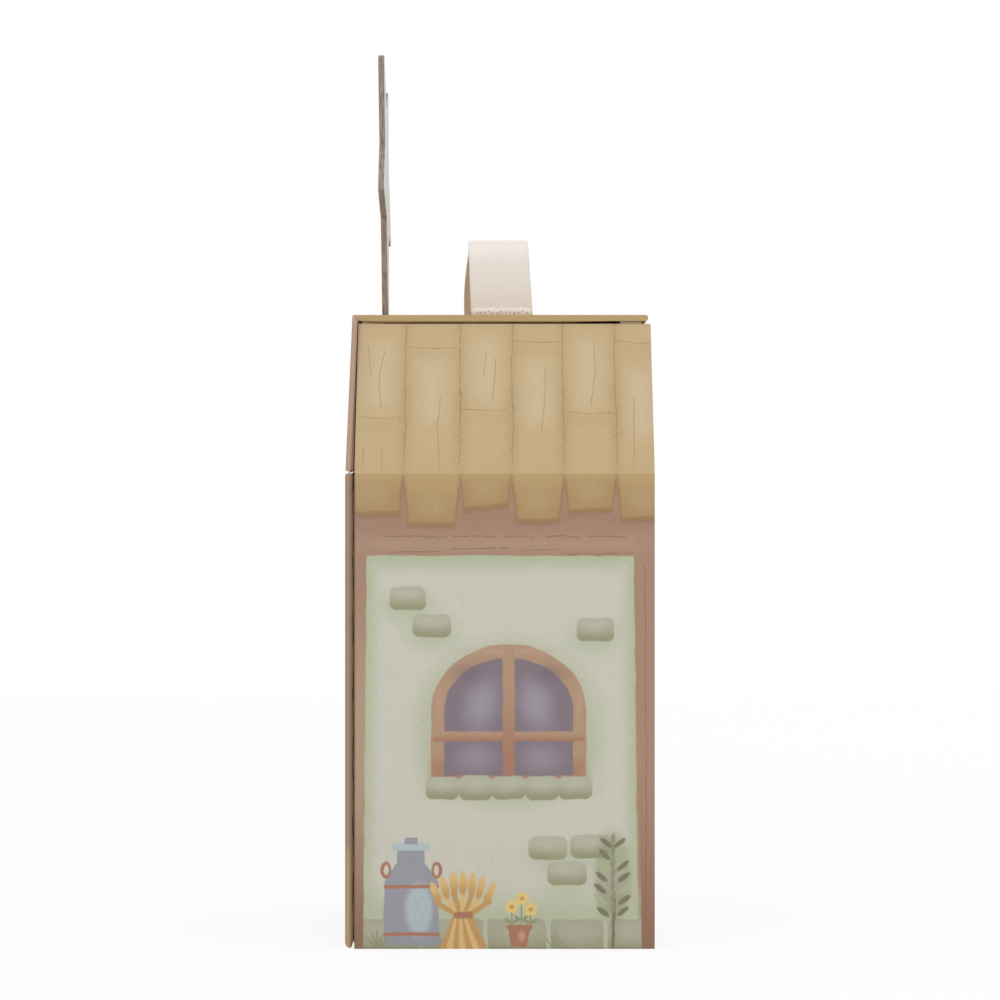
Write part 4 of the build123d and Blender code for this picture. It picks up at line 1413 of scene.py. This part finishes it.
def door_hinge_fold():
    """The fold between the leaf on the floor and the leaf on the door."""
    front = limits("door_hinge_leaf")[1][1] + 0.04
    floor = limits("base_hinge_leaf")[1][2] + 0.04
    reach = limits("base_hinge_leaf")[1][0] - 0.3
    places = [(front + 5.0, floor), (front + 2.6, floor), (front + 1.4, floor + 0.12),
              (front + 0.6, floor + 0.5), (front + 0.15, floor + 1.2), (front, floor + 2.4),
              (front, floor + 4.6)]
    return hinge_fold("door_hinge_fold", places, reach)


def strap_roll(side):
    """The rolled hem of webbing where the loop enters the lid."""
    sections = []
    width = 26.4
    middle_y = strap_middle + side * 2.0
    x = side * (strap_reach - 0.3)
    for step in range(81):
        share = step / 80
        y = middle_y + (share - 0.5) * width
        end = 1 - max(0.0, abs(share * 2 - 1) - 0.9) * 5
        swell = (1 + 0.1 * wander(y, 6.0) + 0.04 * (step % 2)) * end
        ring = []
        for k in range(16):
            angle = 2 * pi * k / 16
            ring.append((x + 1.35 * swell * cos(angle), y, lid_top + 1.9 + 1.9 * swell * sin(angle)))
        sections.append(ring)
    return add_band("strap_roll_" + SIDES[side], sections, cotton, "top_lid", "webbing", smooth=True)


def strap_stitches(side):
    """Small dark stitches over the rolled hem."""
    stitches = []
    middle_y = strap_middle + side * 2.0
    x = side * (strap_reach + 0.95)
    for k in range(13):
        y = middle_y - 11.0 + 1.8 * k + 0.5 * wander(k * 3.0, 7.0)
        lean = 0.4 + 0.25 * wander(k * 2.0, 8.0)
        level = lid_top + 1.9 + 0.5 * wander(k * 1.7, 4.0)
        points = [(x - side * 0.1, y - lean, level - 0.5), (x + side * 0.28, y, level),
                  (x - side * 0.1, y + lean, level + 0.45)]
        stitches.append(tube(points, 0.2))
    name = "strap_stitches_" + SIDES[side]
    return add_piece(name, *joined(stitches), thread_brown, "top_lid", "webbing", smooth=True)


fold_white = card("fold_white", ink(222, 218, 226), speckle=0.1)
brown_paper = card("brown_paper", ink(124, 96, 77), speckle=0.05)
ochre_paper = card("ochre_paper", ink(150, 122, 82), speckle=0.05)
thread_brown = card("thread_brown", ink(176, 146, 118), speckle=0.05)
seam_paper()
lid_hinge_fold()
door_hinge_fold()
for side in (1, -1):
    door_turn_in(side)
    wall_turn_in(side)
    flap_turn_in(side)
    lid_turn_in(side)
    strap_roll(side)
    strap_stitches(side)


# Wooden figures, painted on both faces with bare sawn edges

BODY = ink(232, 204, 176)
HAIR = ink(120, 88, 64)
EYE = ink(74, 60, 52)
WOOD = ink(214, 184, 142)
MANE = ink(96, 88, 84)
SHEEP_FACE = ink(150, 124, 104)
GOLD = ink(214, 178, 98)


def draw_face(picture, x, y, hair=None, beard=None):
    """A plain round face: two eyes, a small smile and warm cheeks."""
    picture.ellipse(x, y, 6.6, 7.0, BODY, soft=0.25)
    if beard is not None:
        picture.ellipse(x, y - 4.6, 6.2, 5.2, beard)
        picture.ellipse(x, y + 0.6, 5.0, 4.4, BODY)
    if hair is not None:
        picture.ellipse(x, y + 5.4, 6.9, 3.4, hair)
    for side in (-1, 1):
        picture.ellipse(x + side * 2.4, y + 0.7, 0.55, 0.75, EYE, soft=0.15)
        picture.ellipse(x + side * 3.6, y - 1.3, 1.3, 0.9, ink(222, 164, 142), soft=0.7, strength=0.7)
    picture.stroke(x - 1.0, y - 2.3, x, y - 2.7, 0.16, TERRACOTTA, soft=0.15)
    picture.stroke(x, y - 2.7, x + 1.0, y - 2.3, 0.16, TERRACOTTA, soft=0.15)


def draw_folds(picture, width, height, tone):
    """Soft fold lines down a robe."""
    for share in (-0.62, -0.2, 0.3, 0.7):
        foot_x = share * width / 2
        top_x = share * width / 3.2
        picture.stroke(foot_x, 3, top_x, height * 0.62, 0.5, tone, soft=0.9, strength=0.6)


def person_painter(height, width, robe, robe_dark, trim, head_y, hair=None, beard=None, hood=None,
                   cloak=None, crown=None, gift=None):
    """Paint for a standing person, drawn from the middle of its foot."""

    def draw(picture):
        picture.fill(robe)
        draw_folds(picture, width, height, robe_dark)
        if cloak is not None:
            for side in (-1, 1):
                hem_x = side * width * 0.42
                picture.taper(hem_x, 0, height - 19, width * 0.22, width * 0.12, cloak, soft=0.4)
                picture.stroke(side * width * 0.24, 2, side * width * 0.16, height - 22, 0.5, trim)
        picture.box(0, 2.6, width, 2.6, trim, corner=0.2)
        for k in range(-4, 5):
            picture.ellipse(k * 4.2, 2.6, 0.9, 0.9, robe, soft=0.25)
        picture.box(0, height * 0.46, width * 0.34, 1.7, trim, corner=0.6)
        for side in (-1, 1):
            picture.stroke(side * 10, height - 26, side * 3.2, height * 0.56, 3.0, robe_dark, soft=0.35)
            picture.ellipse(side * 2.6, height * 0.55, 2.2, 1.9, BODY, soft=0.25)
        if hood is not None:
            picture.ellipse(0, head_y, 10.4, 11.0, hood)
            picture.taper(0, head_y - 17, head_y - 2, 14, 9.4, hood, soft=0.4)
        draw_face(picture, 0, head_y, hair, beard)
        if crown is not None:
            picture.taper(0, head_y + 5.0, head_y + 20, 7.0, 10.0, crown, soft=0.25)
            picture.box(0, head_y + 6.2, 8, 1.0, robe_dark, corner=0.3, soft=0.25)
            for k in (-1, 0, 1):
                picture.ellipse(k * 4.6, head_y + 9.6, 0.9, 0.9, TERRACOTTA, soft=0.25)
        if gift is not None:
            picture.box(0, height * 0.57, 4.6, 3.6, gift, corner=0.8)
            picture.box(0, height * 0.57 + 4.2, 5.2, 1.1, GOLD, corner=0.6)
            picture.ellipse(0, height * 0.57 + 6.2, 1.3, 1.3, GOLD, soft=0.25)

    return draw


def draw_manger(picture):
    """Crossed timber legs, slats and straw along the top."""
    picture.fill(ink(178, 140, 104))
    for y in (11.5, 15.5):
        picture.stroke(-18, y, 18, y, 0.25, TIMBER_DARK)
    for side in (-1, 1):
        picture.stroke(side * 16, 1, side * 9, 10, 0.3, TIMBER_DARK)
        picture.ellipse(side * 14, 13, 0.8, 0.8, EYE, soft=0.2)
    picture.box(0, 19.6, 16, 2.2, STRAW, corner=1, soft=0.5)
    for k in range(14):
        x = -15 + 2.3 * k
        picture.stroke(x, 18, x + 2.4 * sin(k * 2.1), 22, 0.25, CREAM if k % 2 else WHEAT_DARK, soft=0.25)


def draw_infant(picture):
    """A wrapped infant with crossed bands and a small round face."""
    picture.fill(ink(236, 226, 204))
    for k in range(5):
        picture.stroke(-6 + 4.6 * k, 0, -2 + 4.6 * k, 11, 0.35, ink(196, 178, 146), soft=0.4)
    picture.ellipse(-8, 5.6, 4.3, 4.3, BODY, soft=0.25)
    for side in (-1, 1):
        picture.stroke(-8 + side * 1.6 - 0.5, 6.0, -8 + side * 1.6 + 0.5, 6.0, 0.16, EYE, soft=0.15)
    picture.ellipse(-8, 3.9, 0.8, 0.3, TERRACOTTA, soft=0.2)


def draw_ox(picture):
    """A brown ox facing right, with a pale muzzle and a painted eye."""
    picture.fill(ink(158, 116, 84))
    picture.ellipse(0, 36, 20, 9, ink(180, 138, 104), soft=6)
    picture.ellipse(33.5, 38, 6.5, 5.5, ink(226, 200, 174), soft=0.4)
    picture.ellipse(36, 39, 0.8, 1.0, EYE, soft=0.2)
    picture.ellipse(27.5, 43.5, 0.9, 1.1, EYE, soft=0.2)
    picture.taper(28, 46, 60, 5, 3, ink(230, 216, 190))
    for x in (-16, 16):
        picture.box(x, 1.8, 6, 2.4, EYE, corner=0.4)
    for k in range(5):
        picture.stroke(-18 + 7 * k, 30, -16 + 7 * k, 27, 0.25, ink(126, 90, 64))


def draw_donkey(picture):
    """A grey donkey facing left, with a pale muzzle and dark mane."""
    picture.fill(ink(156, 150, 144))
    picture.ellipse(0, 38, 17, 8, ink(180, 175, 168), soft=6)
    picture.stroke(-8, 42, -20, 66, 1.8, MANE, soft=0.4)
    picture.ellipse(-33.5, 54.5, 5.2, 4.6, ink(222, 214, 202), soft=0.4)
    picture.ellipse(-35.5, 55.5, 0.7, 0.9, EYE, soft=0.2)
    picture.ellipse(-26, 61, 0.9, 1.1, EYE, soft=0.2)
    picture.stroke(-18, 66, -16.5, 74, 1.4, ink(214, 180, 164), soft=0.4)
    for x in (-14, 14):
        picture.box(x, 1.8, 6, 2.4, MANE, corner=0.4)


def sheep_painter(facing, length, top):
    """A cream sheep with curled wool and a darker face."""

    def draw(picture):
        picture.fill(ink(238, 230, 214))
        for k in range(15):
            x = -length * 0.42 + (k * 7.3) % (length * 0.84)
            y = 12 + (k * 4.7) % (top - 14)
            picture.ellipse(x, y, 2.0, 1.6, ink(206, 192, 168), soft=0.4)
            picture.ellipse(x + 0.3, y + 0.5, 1.4, 1.0, ink(240, 233, 220))
        head = facing * (length / 2 + 3.6)
        picture.ellipse(head, 22, 6.4, 6.0, SHEEP_FACE, soft=0.4)
        picture.ellipse(head + facing * 0.8, 23.4, 0.7, 0.9, EYE, soft=0.2)
        for side in (-1, 1):
            picture.box(side * (length / 2 - 6), 3.5, 3.8, 4.4, SHEEP_FACE, corner=0.4, soft=0.4)

    return draw


# How far the body's middle lies from the tail end of each animal
facing_right = {"ox": 24.0, "sheep_a": 16.0}
facing_left = {"donkey": 21.0, "sheep_b": 14.4}


def figure_paint(node, draw):
    """Paint on the two flat faces of a figure, and bare wood on the sawn edge."""
    low, high = limits(node)
    middle = (low[0] + high[0]) / 2
    if node in facing_right:
        middle = low[0] + facing_right[node]
    elif node in facing_left:
        middle = high[0] - facing_left[node]
    material = Material("paint_" + node)
    u = material.axis("X", middle)
    v = material.axis("Z", low[2])
    picture = material.show(Picture("picture_" + node, draw, wobble=0.12), u, v)
    rings = material.add("TexWave", wave_type="BANDS", bands_direction="Y")
    material.feed(rings.inputs["Vector"], material.place)
    rings.inputs["Scale"].default_value = 130
    rings.inputs["Distortion"].default_value = 5.0
    rings.inputs["Detail"].default_value = 2.0
    wood = material.mix(rings.outputs["Fac"], ink(196, 160, 116), WOOD)
    split = material.add("SeparateXYZ")
    material.feed(split.inputs[0], material.normal)
    painted = material.ramp(material.math("ABSOLUTE", split.outputs["Y"]), 0.55, 0.75)
    colour = material.mix(painted, wood, material.tint(picture, 140, 0.05))
    rough = material.scaled(painted, -0.12, 0.6)
    grain = material.noise(material.place, 900, 3.0)
    paint(node, material.finish(colour, rough, bumps=((grain, 0.00004),)))


BLUE = ink(136, 156, 172)
BROWN, BROWN_DARK = ink(166, 134, 106), ink(138, 106, 82)
SAGE, SAGE_DARK = ink(160, 164, 132), ink(132, 136, 104)
RUST, RUST_DARK = ink(186, 128, 104), ink(156, 100, 80)
PLUM, PLUM_DARK = ink(150, 132, 150), ink(122, 104, 124)
TEAL, TEAL_DARK = ink(128, 156, 150), ink(100, 128, 124)
OCHRE = ink(212, 178, 118)

ROBE_SHADE = ink(206, 192, 172)
GREY_BEARD = ink(220, 214, 204)

painters = {
    "father_figure": person_painter(104, 34, BROWN, BROWN_DARK, CREAM, 95.5, HAIR, HAIR, cloak=SAGE),
    "mother_figure": person_painter(92, 36, CREAM, ROBE_SHADE, OCHRE, 82.5, HAIR, hood=BLUE, cloak=BLUE),
    "shepherd_figure": person_painter(106, 32, SAGE, SAGE_DARK, BROWN_DARK, 96.5, None, BROWN_DARK,
                                      hood=OCHRE),
    "king_a_figure": person_painter(108, 33, RUST, RUST_DARK, GOLD, 93.5, HAIR, None, cloak=CREAM,
                                    crown=GOLD, gift=OCHRE),
    "king_b_figure": person_painter(114, 33, PLUM, PLUM_DARK, GOLD, 99.5, None, GREY_BEARD, cloak=OCHRE,
                                    crown=GOLD, gift=RUST),
    "king_c_figure": person_painter(110, 33, TEAL, TEAL_DARK, GOLD, 95.5, EYE, EYE, cloak=PLUM,
                                    crown=GOLD, gift=CREAM),
    "manger": draw_manger,
    "infant": draw_infant,
    "ox": draw_ox,
    "donkey": draw_donkey,
    "sheep_a": sheep_painter(1, 30, 27),
    "sheep_b": sheep_painter(-1, 27, 24),
}
for node, draw in painters.items():
    figure_paint(node, draw)


# Floor, background and light


def seen_directly(tree):
    """1 for rays from the camera, off gloss or through glass, and 0 for the rays that give light."""
    path = tree.add("LightPath")
    bounced = tree.most(path.outputs["Is Glossy Ray"], path.outputs["Is Transmission Ray"])
    return tree.most(path.outputs["Is Camera Ray"], bounced)


def plain_surround():
    """A pale floor, and a world that is white to the camera and in reflections."""
    size = 6.0
    surround_grey = (0.62, 0.62, 0.62, 1)
    floor_glow = 0.86
    near_floor = 0.8
    far_floor = 3.0
    mesh = bpy.data.meshes.new("floor")
    corners = [(-size, -size, 0), (size, -size, 0), (size, size, 0), (-size, size, 0)]
    mesh.from_pydata(corners, [], [(0, 1, 2, 3)])
    floor = bpy.data.objects.new("floor", mesh)
    bpy.context.scene.collection.objects.link(floor)
    material = bpy.data.materials.new("floor_white")
    material.use_nodes = True
    tree = Tree(material.node_tree)
    shader = material.node_tree.nodes["Principled BSDF"]
    shader.inputs["Base Color"].default_value = (0.9, 0.9, 0.9, 1)
    shader.inputs["Roughness"].default_value = 0.9
    shader.inputs["Specular IOR Level"].default_value = 0.0
    glow = tree.add("Emission")
    glow.inputs["Color"].default_value = (1, 1, 1, 1)
    seen = seen_directly(tree)
    coordinates = tree.add("TexCoord")
    distance = tree.add("VectorMath", operation="LENGTH")
    tree.feed(distance.inputs[0], coordinates.outputs["Object"])
    far = tree.ramp(distance.outputs["Value"], near_floor, far_floor)
    share = tree.scaled(far, 1 - floor_glow, floor_glow)
    blend = tree.add("MixShader")
    tree.feed(blend.inputs[0], tree.times(seen, share))
    tree.feed(blend.inputs[1], shader.outputs[0])
    tree.feed(blend.inputs[2], glow.outputs[0])
    tree.feed(material.node_tree.nodes["Material Output"].inputs["Surface"], blend.outputs[0])
    mesh.materials.append(material)
    world = bpy.data.worlds.new("surround")
    bpy.context.scene.world = world
    world.use_nodes = True
    sky = Tree(world.node_tree)
    background = world.node_tree.nodes["Background"]
    sky.feed(background.inputs["Color"], sky.mix(seen_directly(sky), surround_grey, (1, 1, 1, 1)))


def soft_lamp(name, place, aim, size, power):
    """A large square soft lamp."""
    data = bpy.data.lights.new(name, "AREA")
    data.size = size
    data.energy = power
    lamp = bpy.data.objects.new(name, data)
    lamp.location = place
    lamp.rotation_euler = (Vector(aim) - Vector(place)).to_track_quat("-Z", "Y").to_euler()
    bpy.context.scene.collection.objects.link(lamp)


plain_surround()
soft_lamp("key_lamp", (1.7, -1.2, 1.7), (0, 0, 0.18), 1.6, 16.0)
soft_lamp("fill_lamp", (1.4, 1.7, 1.0), (0, 0, 0.18), 1.6, 8.0)
soft_lamp("rear_lamp", (-1.8, 0.6, 1.5), (0, 0, 0.18), 1.6, 10.0)
soft_lamp("top_lamp", (0.0, 0.0, 2.4), (0, 0, 0.2), 1.5, 10.0)
